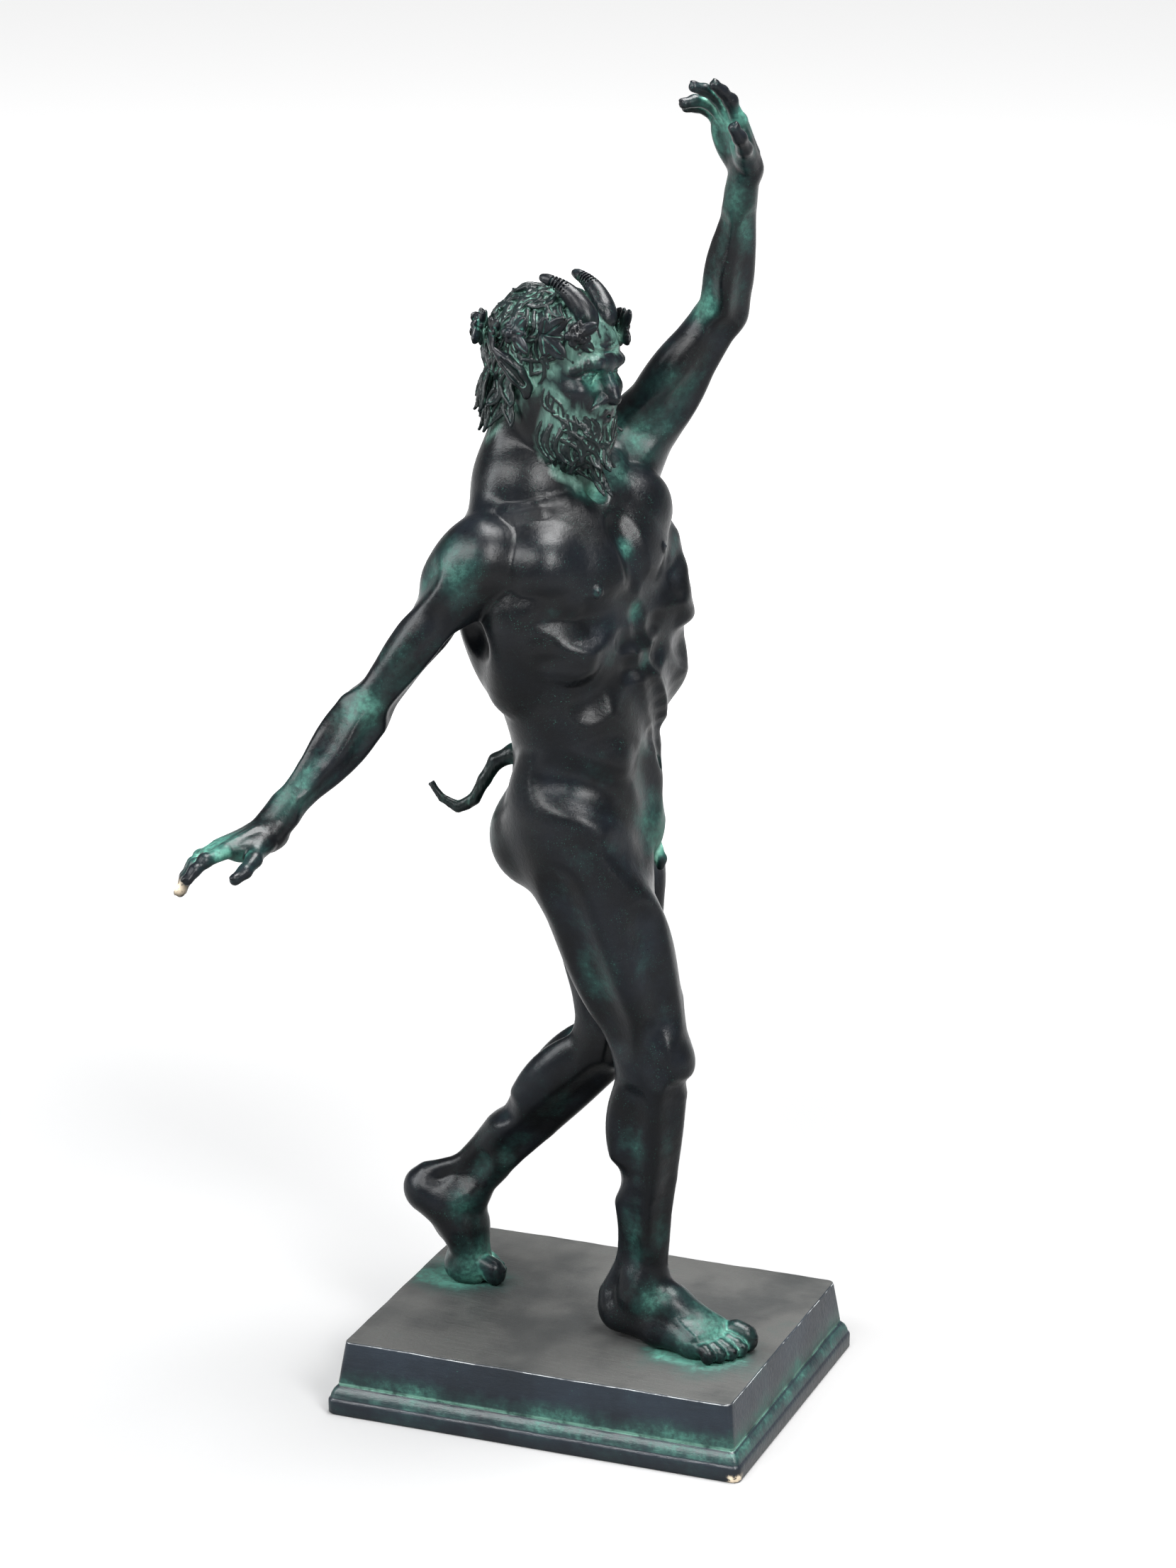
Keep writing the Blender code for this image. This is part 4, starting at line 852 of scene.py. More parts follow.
            # Socket, eyeball, lids and brow
            self.ball(at(36.0, 10.5 * s, 0.2), (7.6, 7.2, 5.2), H, 4, cut=True)
            self.ball(at(26.6, 10.4 * s, -0.4), (5.2, 5.8, 5.0), H, 0.8)
            self.tube([at(28.3, 4.8 * s, -1.6), at(31.8, 7.6 * s, 2.2), at(32.4, 11 * s, 3.0),
                       at(30.2, 14.8 * s, 1.4), at(27.0, 17.4 * s, -1.8)], (0.9, 1.15, 1.3, 1.15, 0.9), 0.8)
            self.tube([at(28.3, 4.8 * s, -1.8), at(30.4, 8.0 * s, -4.3), at(30.4, 12 * s, -4.5),
                       at(27.0, 17.2 * s, -2.0)], (0.8, 0.95, 0.95, 0.8), 0.8)
            self.ball(at(31.9, 10.6 * s, -0.6), (0.9, 1.3, 1.3), H, 0.4, cut=True)
            self.tube([at(33.5, 4.5 * s, 6.2), at(34.6, 9 * s, 8.4), at(32.0, 15 * s, 8.2),
                       at(26.5, 20 * s, 4.2)], (3.0, 3.3, 3.0, 2.2), 3)
            # Cheekbone, cheek and wing of the nose
            self.balls(at, H, (((24.5, 15.5 * s, -8), (8.5, 6.5, 6), 5), ((25, 11 * s, -15), (8, 7, 8), 6),
                               ((36.0, 4.3 * s, -12.4), (4.2, 2.9, 3.2), 1.6)))
            self.ball(at(38.8, 2.4 * s, -15.2), (2.0, 1.2, 1.3), H, 0.8, cut=True)
            self.tube([at(36.4, 7.2 * s, -11), at(33.5, 11 * s, -17)], (0.9, 0.9), 2.5, cut=True)
        # Furrows of the forehead
        for z in (14.5, 18.5):
            self.tube([at(33.2, -10, z + 0.8), at(35.2, -4, z), at(35.2, 4, z), at(33.2, 10, z + 0.8)],
                      (0.5, 0.7, 0.7, 0.5), 1.6, cut=True)
        # Nose and mouth
        self.tube([at(32.5, 0, 6), at(35.8, 0, 0), at(40.0, 0, -7), at(41.6, 0, -11.0)],
                  (3.2, 2.9, 3.4, 4.0), 3)
        self.balls(at, H, (((33.5, 0, 8.5), (4, 6, 4), 4), ((31, 0, -19), (7, 10, 7), 5)))
        self.tube([at(33.0, -6.5, -20.4), at(36.9, -2.2, -19.2), at(36.5, 0, -19.6), at(36.9, 2.2, -19.2),
                   at(33.0, 6.5, -20.4)], (0.9, 1.4, 1.3, 1.4, 0.9), 1)
        self.tube([at(33.0, -5.5, -22.8), at(36.4, -2, -24), at(36.4, 2, -24), at(33.0, 5.5, -22.8)],
                  (1.0, 1.8, 1.8, 1.0), 1)
        self.tube([at(34.0, -6.8, -21.4), at(38.2, 0, -21.7), at(34.0, 6.8, -21.4)],
                  (0.6, 0.75, 0.6), 0.8, cut=True)
        self.deposit(at(-19, 0, 13), 45, 1.0)
        self.deposit(at(23, 0, -46), 27, 1.0)
        self.deposit(at(30, 0, -4), 22, 0.45)
        for s in SIDES:
            self.patina(at(33, 10 * s, -1), 6.5, 0.7)
            self.deposit(at(0, 32 * s, 0), 18, 0.8)

    def ears(self):
        """Pointed ears that lean back."""
        at = self.face_at
        for s in SIDES:
            self.tube([at(2, 30 * s, -8), at(-2, 34.5 * s, -1), at(-8, 38 * s, 6), at(-15, 40.5 * s, 12)],
                      (4.2, 5.2, 4.4, 1.3), 2)
            self.tube([at(2.5, 34.5 * s, -6), at(-1, 38.8 * s, 0), at(-9, 41.8 * s, 7)],
                      (1.7, 2.7, 1.4), 1.2, cut=True)
            self.ball(at(3, 31 * s, -11), (2.8, 2.6, 4), self.head, 1.5)

    def horns(self):
        """Ringed horns that rise from the forehead and bend back."""
        for s in SIDES:
            core = [self.face_at(25 - 28 * t ** 1.5, (8 + 7 * t) * s, 30 + 22 * math.sin(t * 1.4))
                    for t in (i / HORN_STEPS for i in range(HORN_STEPS + 1))]
            thick = [5.9 - 3.5 * (i / HORN_STEPS) ** 1.2 for i in range(HORN_STEPS + 1)]
            self.tube(core, thick, 0.8)
            for i in range(4, HORN_STEPS - 2):
                frame = axes(core[i + 1] - core[i - 1], (0, 0, 1))
                ring = [core[i] + frame @ Vector((0, math.cos(a), math.sin(a))) * (thick[i] - 0.1) * MM
                        for a in (2 * math.pi * k / 14 for k in range(15))]
                self.tube(ring, [0.75] * 15, 0.45, cut=True)

    def lock(self, points, outward, width, strands=5, blend=0.3):
        """A lock of hair: strands side by side that swell, then run together at the tip.
        outward holds one direction for each point, away from what the lock lies on."""
        last = len(points) - 1
        self.hairline += [(p, 0.5 * width * MM) for p in points]
        for k in range(strands):
            off = (k + 0.5) / strands * 2 - 1
            row = []
            radii = []
            for i, p in enumerate(points):
                t = i / last
                ahead = (points[min(i + 1, last)] - points[max(i - 1, 0)]).normalized()
                side = outward[i].cross(ahead).normalized()
                half = 0.5 * width * (0.70 + 0.38 * math.sin(math.pi * t)) * math.sqrt(max(1 - t ** 2.6, 0))
                crown = (1 - off * off) * 0.68 * half + 0.3 * math.sin(2.4 * k)
                row.append(p + (side * off * half * 0.84 + ahead.cross(side) * -crown) * MM)
                radii.append(max(0.7, 1.0 * half / strands + 0.15))
            self.tube(row, radii, blend)

    def lying(self, centre, radii, place, heading, length, curl, phase, lift, tip_lift):
        """Points of a lock that lies on an ellipsoid of the head, and the outward side at each.
        It starts at place, sets off along heading and swings by curl degrees."""
        c = Vector(centre)
        r = Vector(radii)
        q = Vector([(p - k) / s for p, k, s in zip(Vector(place), c, r)]).normalized()
        points = []
        outward = []
        step = length / LOCK_STEPS
        heading = Vector(heading)
        for i in range(LOCK_STEPS + 1):
            t = i / LOCK_STEPS
            p = c + Vector((q.x * r.x, q.y * r.y, q.z * r.z))
            n = Vector((q.x / r.x, q.y / r.y, q.z / r.z)).normalized()
            heading = (heading - n * heading.dot(n)).normalized()
            rise = lift * math.sin(math.pi * min(t * 1.1, 1)) + tip_lift * t ** 2
            points.append(self.face_at(*(p + n * rise)))
            outward.append(self.head @ n)
            turn = math.radians(curl) * math.cos(phase + t * 4.6) / LOCK_STEPS * 3.2
            heading = Matrix.Rotation(turn, 3, n) @ heading
            p = p + heading * step
            q = Vector([(a - k) / s for a, k, s in zip(p, c, r)]).normalized()
        return points, outward

    def hang(self, start, way, aside, outward, length, swing, phase, droop):
        """Points of a lock that hangs free along way and swings aside."""
        way = Vector(way).normalized()
        side = (Vector(aside) - way * Vector(aside).dot(way)).normalized()
        points = []
        for i in range(10):
            t = i / 9
            reach = math.sin(phase + t * 5.2) - math.sin(phase)
            points.append(start + (way * length * t + side * swing * reach * (0.4 + 0.6 * t)
                                   + Vector(droop) * length * t * t) * MM)
        return points, [Vector(outward)] * 10

    def beard(self):
        """Wavy locks in tiers that run together toward the chin's point."""
        H, at = self.head, self.face_at
        chance = random.Random(7)
        self.limb(at(15, 0, -28), at(28, 0, -50), H @ Vector((0, 1, 0)),
                  [(0, 20, 16, 0, 0), (0.4, 18.5, 14, 0, 0), (0.75, 9, 7, 0, 0), (1, 2.5, 2.5, 0, 0)], 6)
        self.ball(at(14, 0, -31), (21.8, 21.8, 25.0), H, 3)
        # Long locks of the chin
        for row, (count, longest) in enumerate(((5, 25), (6, 18))):
            for i in range(count):
                f = i / (count - 1) * 2 - 1
                start = at(31 - 9 * f * f + 4 * row, (11 + 3 * row) * f, -43 + 8 * row + 3 * f * f)
                self.lock(*self.hang(start, H @ Vector((0.34, -0.42 * f, -1)),
                                     H @ Vector((0, 1 if i % 2 else -1, 0)), H @ Vector((1, 0.9 * f, 0)),
                                     longest * chance.uniform(0.9, 1.1), 2.6, chance.uniform(-0.4, 0.4),
                                     H @ Vector((0.15, 0, 0))), 9.4, 4)
        centre = Vector((14, 0, -30))
        radii = Vector((22.5, 22.5, 27))
        goal = Vector((38, 0, -66))
        # Each tier: height, count, widest angle, length of its locks, lift of their tips
        for height, count, widest, longest, tip in ((-48, 8, 1.15, 27, 5), (-38, 11, 1.45, 28, 4.5),
                                                    (-28, 12, 1.65, 27, 3.5), (-20, 12, 1.75, 22, 2.5)):
            for i in range(count):
                f = i / (count - 1) * 2 - 1
                # The top tier leaves the mouth free
                if height == -20 and abs(f) < 0.3:
                    continue
                x, y = math.cos(f * widest), math.sin(f * widest)
                z = height + 9 * f * f
                spot = centre + Vector((x * 40, y * 40, (z - centre.z) * 1.5))
                heading = goal - (centre + Vector((x * 22, y * 22, z - centre.z)))
                heading.z -= 8
                sign = (1 if f > 0 else -1) * (1 if height in (-48, -28) else -1)
                self.lock(*self.lying(centre, radii, spot, heading, longest * chance.uniform(0.9, 1.15),
                                      58 * sign, chance.uniform(-0.2, 0.3), 1.8, tip), 9.4, 4)
        for s in SIDES:
            # Moustache
            points = [at(x, y * s, z) for x, y, z in (
                (38.5, 0.8, -16.4), (38.3, 4, -16.8), (36, 7.5, -18.4), (33.8, 10.5, -21.6), (32.8, 13, -26),
                (34, 14.6, -30), (37, 15.4, -32))]
            self.lock(points, [H @ Vector((1, 0.7 * s, 0.2))] * len(points), 5.6, 3)
            # Whiskers in front of the ear
            for k in range(3):
                self.lock(*self.lying((6, 0, -8), (30, 27, 34), (14 + 4 * k, 30 * s, -6 - 3 * k),
                                      (0.5, 0, -1), 17, 55 * (1 if k % 2 else -1), 0.3, 1.0, 1.5), 6.2, 4)

    def hair(self):
        """Overlapping wavy locks that run down and back from the crown, longest at the nape."""
        H = self.head
        chance = random.Random(3)
        centre = Vector((-6, 0, 10))
        radii = Vector((38.5, 31, 35))
        # Each ring: angle from the crown, count, length
        rings = ((116, 12, 27), (96, 15, 32), (76, 16, 34), (56, 15, 34), (37, 15, 32), (21, 11, 28),
                 (7, 6, 24))
        for ring, (polar, count, longest) in enumerate(rings):
            for i in range(count):
                around = 2 * math.pi * (i + 0.5 * (ring % 2)) / count + chance.uniform(-0.05, 0.05)
                tilt = math.radians(polar + chance.uniform(-3, 3))
                x, y = math.cos(around), math.sin(around)
                d = Vector((math.sin(tilt) * x, math.sin(tilt) * y, math.cos(tilt)))
                spot = centre + Vector((d.x * radii.x, d.y * radii.y, d.z * radii.z))
                # Forehead and face stay free
                if (spot.x > 17 and spot.z < 27) or (spot.x > 1 and spot.z < 2):
                    continue
                down = Vector((math.cos(tilt) * x, math.cos(tilt) * y, -math.sin(tilt)))
                heading = down + Vector((-0.75 if d.x > -0.2 else -0.1, 0, -0.1))
                sign = (1 if ring % 2 else -1) * (1 if d.y > 0 else -1)
                self.lock(*self.lying(centre, radii, spot, heading, longest * chance.uniform(0.85, 1.15),
                                      66 * sign, chance.uniform(-0.25, 0.4), chance.uniform(1.2, 3.0),
                                      chance.uniform(1.0, 3.2)), chance.uniform(11.0, 13.0))
        # Thick locks that hang over the nape and behind the ears, in two layers
        for out, top, longest in ((0, -10, 27), (4.5, -5, 20)):
            for i in range(11):
                f = i / 10 * 2 - 1
                a = math.pi + f * 1.55
                d = Vector((math.cos(a), math.sin(a), 0))
                start = self.face_at(-8 + (33 + out) * d.x, (27 + out) * d.y, top - 5 * (i % 2) + 3 * abs(f))
                self.lock(*self.hang(start, H @ (d * 0.30 + Vector((0, 0, -1))),
                                     H @ Vector((-d.y, d.x, 0)) * (1 if i % 2 else -1), H @ d,
                                     longest - 5 * abs(f) + 4 * (i % 3), 4.2, chance.uniform(-0.5, 0.5),
                                     H @ (d * -0.12)), 11.5)
        # Forelocks swept to the sides of the brow
        for s in SIDES:
            for k in range(5):
                self.lock(*self.lying(centre, radii, (27 - 3.2 * k, (2.0 + 5.0 * k) * s, 33 - 2.6 * k),
                                      (0.55 - 0.3 * k, 1.0 * s, -0.35 - 0.2 * k), 19,
                                      75 * s * (1 if k % 2 else -1), 0.2, 2.6, 1.5), 7.0, 4)

    def wreath(self):
        """Ivy leaves in pairs with clusters of berries round the head."""
        H = self.head
        chance = random.Random(5)
        for i in range(14):
            a = 2 * math.pi * (i + 0.5) / 14
            # The wreath is open over the forehead
            if abs(math.sin(a)) < 0.3 and math.cos(a) > 0:
                continue
            d = Vector((math.cos(a), math.sin(a), 0))
            spot = Vector((-6 + 39.5 * d.x, 32.5 * d.y, 22 + 3.2 * d.x))
            tangent = Vector((-d.y, d.x, 0)) * (-1 if d.y < 0 else 1)
            base = self.face_at(*spot)
            for tilt in (0.62, -0.48):
                upward = Vector((0, 0, tilt + chance.uniform(-0.3, 0.3)))
                way = (tangent * -0.85 + upward + d * chance.uniform(0.0, 0.3)).normalized()
                frame = axes(H @ way, H @ (d + Vector((0, 0, chance.uniform(-0.35, 0.35)))))
                self.leaf(base, frame, chance.uniform(0.82, 1.12))
            if i % 2 == 0:
                for k in range(5):
                    turn = 2 * math.pi * k / 5
                    ring = (tangent * math.cos(turn) + Vector((0, 0, 1)) * math.sin(turn)) * 4.0
                    self.ball(self.face_at(*(spot + d * 4.5 + ring)), (2.7, 2.7, 2.7), H, 0.3)
                self.ball(self.face_at(*(spot + d * 6.2)), (2.9, 2.9, 2.9), H, 0.3)

    def leaf(self, base, frame, big):
        """A three-lobed ivy leaf with a furrow along each lobe."""
        self.ball(base + frame @ Vector((8.5, 2.8, 0)) * big * MM, (8.5 * big, 1.9, 4.3 * big), frame, 0.5)
        for turn in (38, -38):
            lobe = frame @ Matrix.Rotation(math.radians(turn), 3, "Y")
            self.ball(base + lobe @ Vector((5.0, 2.6, 0)) * big * MM, (6.2 * big, 1.8, 3.0 * big), lobe, 0.4)
            self.tube([base + lobe @ Vector((x, y, 0)) * MM for x, y in ((1.5, 4.6), (9.5 * big, 3.9))],
                      (0.5, 0.35), 0.4, cut=True)
        self.tube([base + frame @ Vector((x, y, 0)) * MM
                   for x, y in ((0, 4.6), (8, 5.0), (16.5 * big, 3.2))], (0.75, 0.6, 0.4), 0.5, cut=True)

    def tail(self):
        path = [self.low(*p) for p in ((-34, 0, 22), (-46, 0, 24), (-56, -1, 18), (-62, -2, 6),
                                       (-67, -3, -6), (-76, -4, -12), (-86, -4, -8), (-93, -4, 0))]
        self.tube(path, (7.0, 5.6, 4.6, 3.8, 3.4, 3.2, 2.4, 1.2), 3)
        line = smooth_line(path)
        last = len(line) - 1
        ways = [(line[min(i + 1, last)] - line[max(i - 1, 0)]).normalized() for i in range(last + 1)]
        twist = [Matrix.Rotation(0.28 * i, 3, way) @ (self.pelvis @ Vector((0, 1, 0.2)))
                 for i, way in enumerate(ways)]
        for turn in (0, 2.1, 4.2):
            sides = [Matrix.Rotation(turn, 3, way) @ w for way, w in zip(ways, twist)]
            lifted = [p + w.normalized() * (4.0 - 2.6 * i / len(line)) * MM
                      for i, (p, w) in enumerate(zip(line, sides))]
            self.lock(lifted, sides, 7.0, 4)
        self.deposit(path[4], 50, 0.7)
        self.patina(path[0], 14, 0.4)

    def loins(self):
        P, low = self.pelvis, self.low
        for s in SIDES:
            self.ball(low(36, 4.5 * s, -28), (6.2, 5.6, 7.8), P, 2)
        self.tube([low(37, 0, -19), low(43, 0, -21.5), low(46.5, 0, -27), low(47, 0, -31.5)],
                  (4.2, 4.0, 3.7, 2.4), 1.5)
        # Three rows of six short locks: half width of the row, height
        for half, height in ((14, -8), (11, -12.5), (7, -17)):
            for i in range(6):
                f = i / 5 * 2 - 1
                start = low(39 - 3.0 * f * f, f * half, height + 3 * abs(f))
                self.lock(*self.hang(start, P @ Vector((0.4, 0.5 * f, -0.7)),
                                     P @ Vector((0, 1 if i % 2 else -1, 0.2)), P @ Vector((1, 0.4 * f, 0.3)),
                                     7.5, 2.4, 0.3, (0, 0, 0)), 4.8, 3)
        self.deposit(low(38, 0, -16), 24, 1.0)
        self.patina(low(38, 0, -16), 15, 0.5)


def patina_spots(faun):
    """The larger places where the green has gathered: place, reach in millimetres and strength."""
    for point, spots in (
            (faun.up, (((30, 0, 56), 11, 0.95), ((24, 26, 50), 13, 0.7), ((24, -26, 46), 12, 0.35),
                       ((45, 0, 22), 8, 0.8), ((44, 0, -14), 9, 0.6), ((40, 0, -44), 9, 0.5))),
            (faun.low, (((42, 0, 32), 7, 0.9), ((40, 0, 12), 12, 0.4))),
            (faun.up, (((8, -56, -2), 15, 0.75), ((8, 58, 4), 15, 0.75), ((26, -38, -30), 14, 0.4))),
            (faun.low, (((16, -46, 40), 16, 0.65), ((16, 46, 40), 16, 0.5), ((34, -22, 2), 11, 0.6),
                        ((34, 22, 2), 11, 0.6))),
            (faun.up, (((-40, 0, 0), 18, 0.45),)),
            (faun.low, (((-38, 0, 36), 16, 0.5),)),
            (faun.up, (((20, -46, 2), 20, 0.6), ((34, -24, -30), 13, 0.4))),
            (faun.low, (((32, -26, 46), 12, 0.65), ((32, -28, 24), 11, 0.7))),
            (faun.up, (((20, 46, 2), 20, 0.5),)),
            (faun.low, (((32, 26, 46), 12, 0.5),)),
            (faun.up, (((-34, -26, 30), 24, 0.4), ((-34, 26, 30), 24, 0.4))),
            (faun.low, (((-44, -22, -20), 24, 0.35), ((-44, 22, -20), 24, 0.35)))):
        for place, reach, strength in spots:
            faun.patina(point(*place), reach, strength)
    for s in SIDES:
        shoulder, elbow, wrist = faun.shoulder[s], faun.elbow[s], faun.wrist[s]
        hip, knee, ankle = faun.hip[s], faun.knee[s], faun.ankle[s]
        for start, end, share, shift, reach, strength in (
                (shoulder, elbow, 0.15, (0, -14, 6), 27, 0.60),
                (shoulder, elbow, 0.62, (0, -12, -4), 22, 0.50),
                (elbow, wrist, 0.15, (0, -8, 6), 20, 0.45), (elbow, wrist, 0.70, (0, -8, 4), 20, 0.55),
                (hip, knee, 0.15, (10, -30, 10), 26, 0.32), (hip, knee, 0.62, (-6, -22, 0), 28, 0.30),
                (hip, knee, 0.85, (12, 12, 0), 24, 0.30), (hip, knee, 0.50, (-20, 14, 0), 28, 0.35),
                (ankle, ankle, 0, (8, 10 * s, -2), 13, 0.7), (ankle, ankle, 0, (8, -12 * s, -2), 12, 0.5),
                (faun.sole[s], ankle, 0, (12, 0, 2), 18, 0.55),
                (knee, ankle, 0.02, (-17, 0, 0), 16, 0.5), (knee, ankle, 0.35, (2, -14, 0), 22, 0.35),
                (knee, ankle, 0.75, (4, -8, 0), 24, 0.50)):
            faun.patina(start + (end - start) * share + Vector(shift) * MM, reach, strength)
        faun.deposit(faun.sole[s] + Vector((8, 0, 6)) * MM, 34, 1.0)


def mesh_from(points, triangles, quads, name):
    """A mesh from arrays of triangles and quads."""
    mesh = bpy.data.meshes.new(name)
    corners = np.concatenate((np.asarray(triangles, np.int32).ravel(), np.asarray(quads, np.int32).ravel()))
    sizes = np.concatenate((np.full(len(triangles), 3), np.full(len(quads), 4))).astype(np.int32)
    starts = np.concatenate(([0], np.cumsum(sizes)[:-1])).astype(np.int32)
    mesh.vertices.add(len(points))
    mesh.vertices.foreach_set("co", np.asarray(points, np.float32).ravel())
    mesh.loops.add(len(corners))
    mesh.loops.foreach_set("vertex_index", corners[::1])
    mesh.polygons.add(len(sizes))
    mesh.polygons.foreach_set("loop_start", starts)
    mesh.polygons.foreach_set("loop_total", sizes)
    mesh.update(calc_edges=True)
    mesh.validate()
    return mesh


def bake(obj):
    """Bakes the object's modifiers into its own mesh."""
    bpy.context.view_layer.update()
    evaluated = obj.evaluated_get(bpy.context.evaluated_depsgraph_get())
    old = obj.data
    obj.data = bpy.data.meshes.new_from_object(evaluated)
    obj.modifiers.clear()
    bpy.data.meshes.remove(old)


def vertex_array(mesh):
    points = np.empty(3 * len(mesh.vertices), np.float32)
    mesh.vertices.foreach_get("co", points)
    return points.reshape(-1, 3)


def attribute(mesh, name, values):
    layer = mesh.attributes.new(name, "FLOAT", "POINT")
    layer.data.foreach_set("value", np.ascontiguousarray(values, np.float32))


def linked(mesh):
    """An object of the mesh's name, in the scene."""
    obj = bpy.data.objects.new(mesh.name, mesh)
    bpy.context.scene.collection.objects.link(obj)
    return obj


def thinned(clay, keep, triangles_wanted):
    """The clay's surface where keep says so, thinned: its points, triangles and normals."""
    points, triangles, quads = clay.polygons(0.0)
    kept = keep(points)
    triangles = triangles[kept[triangles].all(1)]
    quads = quads[kept[quads].all(1)]
    used, corners = np.unique(np.concatenate((triangles.ravel(), quads.ravel())), return_inverse=True)
    split = triangles.size
    mesh = mesh_from(points[used], corners[:split].reshape(-1, 3), corners[split:].reshape(-1, 4), "surface")
    obj = linked(mesh)
    thin = obj.modifiers.new("thin", "DECIMATE")
    thin.ratio = min(1.0, triangles_wanted / (len(triangles) + 2 * len(quads)))
    thin.use_collapse_triangulate = True
    bake(obj)
    places = vertex_array(obj.data)
    corners = np.empty(len(obj.data.loops), np.int32)
    obj.data.loops.foreach_get("vertex_index", corners)
    bpy.data.objects.remove(obj)
    corners = corners.reshape(-1, 3)
    normals = clay.slopes(places.astype(np.float64))
    first, second, third = places[corners[:, 0]], places[corners[:, 1]], places[corners[:, 2]]
    if (np.cross(second - first, third - first) * normals[corners[:, 0]]).sum() < 0:
        corners = corners[:, ::-1]
    return places, corners, normals


def seamed_surface(faun):
    """Points, triangles, normals, furrows and crests of both grids.
    Each surface sinks under the other past the sphere where they meet."""
    middle = np.array(faun.head_middle)

    def beyond(points, side):
        return side * (np.linalg.norm(points - middle, axis=1) - HEAD_RADIUS)

    sets = []
    for clay, budget, side in ((faun.clay, BODY_TRIANGLES, -1), (faun.head_clay, HEAD_TRIANGLES, 1)):
        places, corners, normals = thinned(clay, lambda points: beyond(points, side) < SEAM, budget)
        past = beyond(places, side) / SEAM
        # Furrows and crests a millimetre or so across
        reach = 1.9 * clay.voxel
        furrow = 1 - clay.sample(places + normals * reach) / reach
        crest = 1 + clay.sample(places - normals * reach) / reach
        places = places - normals * (SINK * np.clip(past, 0, 1))[:, None]
        sets.append((places, corners, normals, furrow, crest))
    offset = len(sets[0][0])
    places, corners, normals, furrow, crest = [np.concatenate(parts) for parts in zip(*sets)]
    corners[len(sets[0][1]):] += offset
    return places, corners, normals, furrow, crest


def openness(clay, places, normals):
    """Share of clay met just above the surface, at three scales."""
    cell = max(2, round(CAVITY_CELL / clay.voxel))
    blocks = clay.fullness(cell)
    size = cell * clay.voxel
    cavity = np.zeros(len(places), np.float32)
    for reach, weight in ((0.0022, 0.5), (0.0050, 0.3), (0.0100, 0.2)):
        above = (places + normals * reach - clay.low) / size - 0.5
        cavity += weight * read_grid(blocks, above)
    return cavity


def hairiness(hairline, places):
    """How near each point is to a lock, from 0 to 1."""
    tree = KDTree(len(hairline))
    for i, (place, half) in enumerate(hairline):
        tree.insert(place, i)
    tree.balance()
    hair = np.zeros(len(places), np.float32)
    for i, place in enumerate(places):
        spot, index, away = tree.find(place)
        hair[i] = min(max(3.6 - 3 * away / hairline[index][1], 0.0), 1.0)
    return hair


def marked(spots, places):
    """How strongly the spots mark each point."""
    share = np.zeros(len(places), np.float32)
    for place, size, strength in spots:
        away = ((places - np.array(place)) ** 2).sum(1) / size ** 2
        share = 1 - (1 - share) * (1 - strength * np.exp(-away))
    return share


def make_figure():
    voxels = ((BODY_VOXEL, HEAD_VOXEL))
    faun = Faun(*voxels)
    faun.build()
    patina_spots(faun)
    places, corners, normals, furrow, crest = seamed_surface(faun)
    mesh = mesh_from(places, corners, np.empty((0, 4), np.int32), "faun_figure_cast")
    obj = linked(mesh)
    for name, values in (("hair", hairiness(faun.hairline, places)),
                         ("cavity", openness(faun.clay, places, normals)),
                         ("furrow", furrow), ("crest", crest), ("green", marked(faun.green, places)),
                         ("deep", marked(faun.deep, places)), ("chip", marked(faun.chips, places))):
        attribute(mesh, name, values)
    mesh.shade_smooth()
    mesh.normals_split_custom_set_from_vertices(normals)
    return obj, faun


def rounded_rectangle(length, depth, radius):
    """Evenly stepped outline of a round-cornered rectangle."""
    outline = []
    corners = ((1, 1, 0), (-1, 1, 90), (-1, -1, 180), (1, -1, 270))
    for index, (side_x, side_y, start) in enumerate(corners):
        centre = (side_x * (length / 2 - radius), side_y * (depth / 2 - radius))
        for k in range(CORNER_STEPS + 1):
            a = math.radians(start + 90 * k / CORNER_STEPS)
            outline.append((centre[0] + math.cos(a) * radius, centre[1] + math.sin(a) * radius))
        next_x, next_y, next_start = corners[(index + 1) % 4]
        a = math.radians(next_start)
        ahead = (next_x * (length / 2 - radius) + math.cos(a) * radius,
                 next_y * (depth / 2 - radius) + math.sin(a) * radius)
        here = outline[-1]
        steps = SIDE_STEPS[index % 2]
        for k in range(1, steps):
            t = k / steps
            outline.append((here[0] + (ahead[0] - here[0]) * t, here[1] + (ahead[1] - here[1]) * t))
    return np.array(outline)


def swell(x, y):
    """Slow, hand-made unevenness between -1 and 1."""
    return (0.4 * np.sin(38 * x + 1.3 + 9 * y) + 0.3 * np.sin(61 * y - 14 * x + 0.4)
            + 0.2 * np.sin(97 * x + 52 * y + 2.1) + 0.1 * np.sin(150 * y - 120 * x))


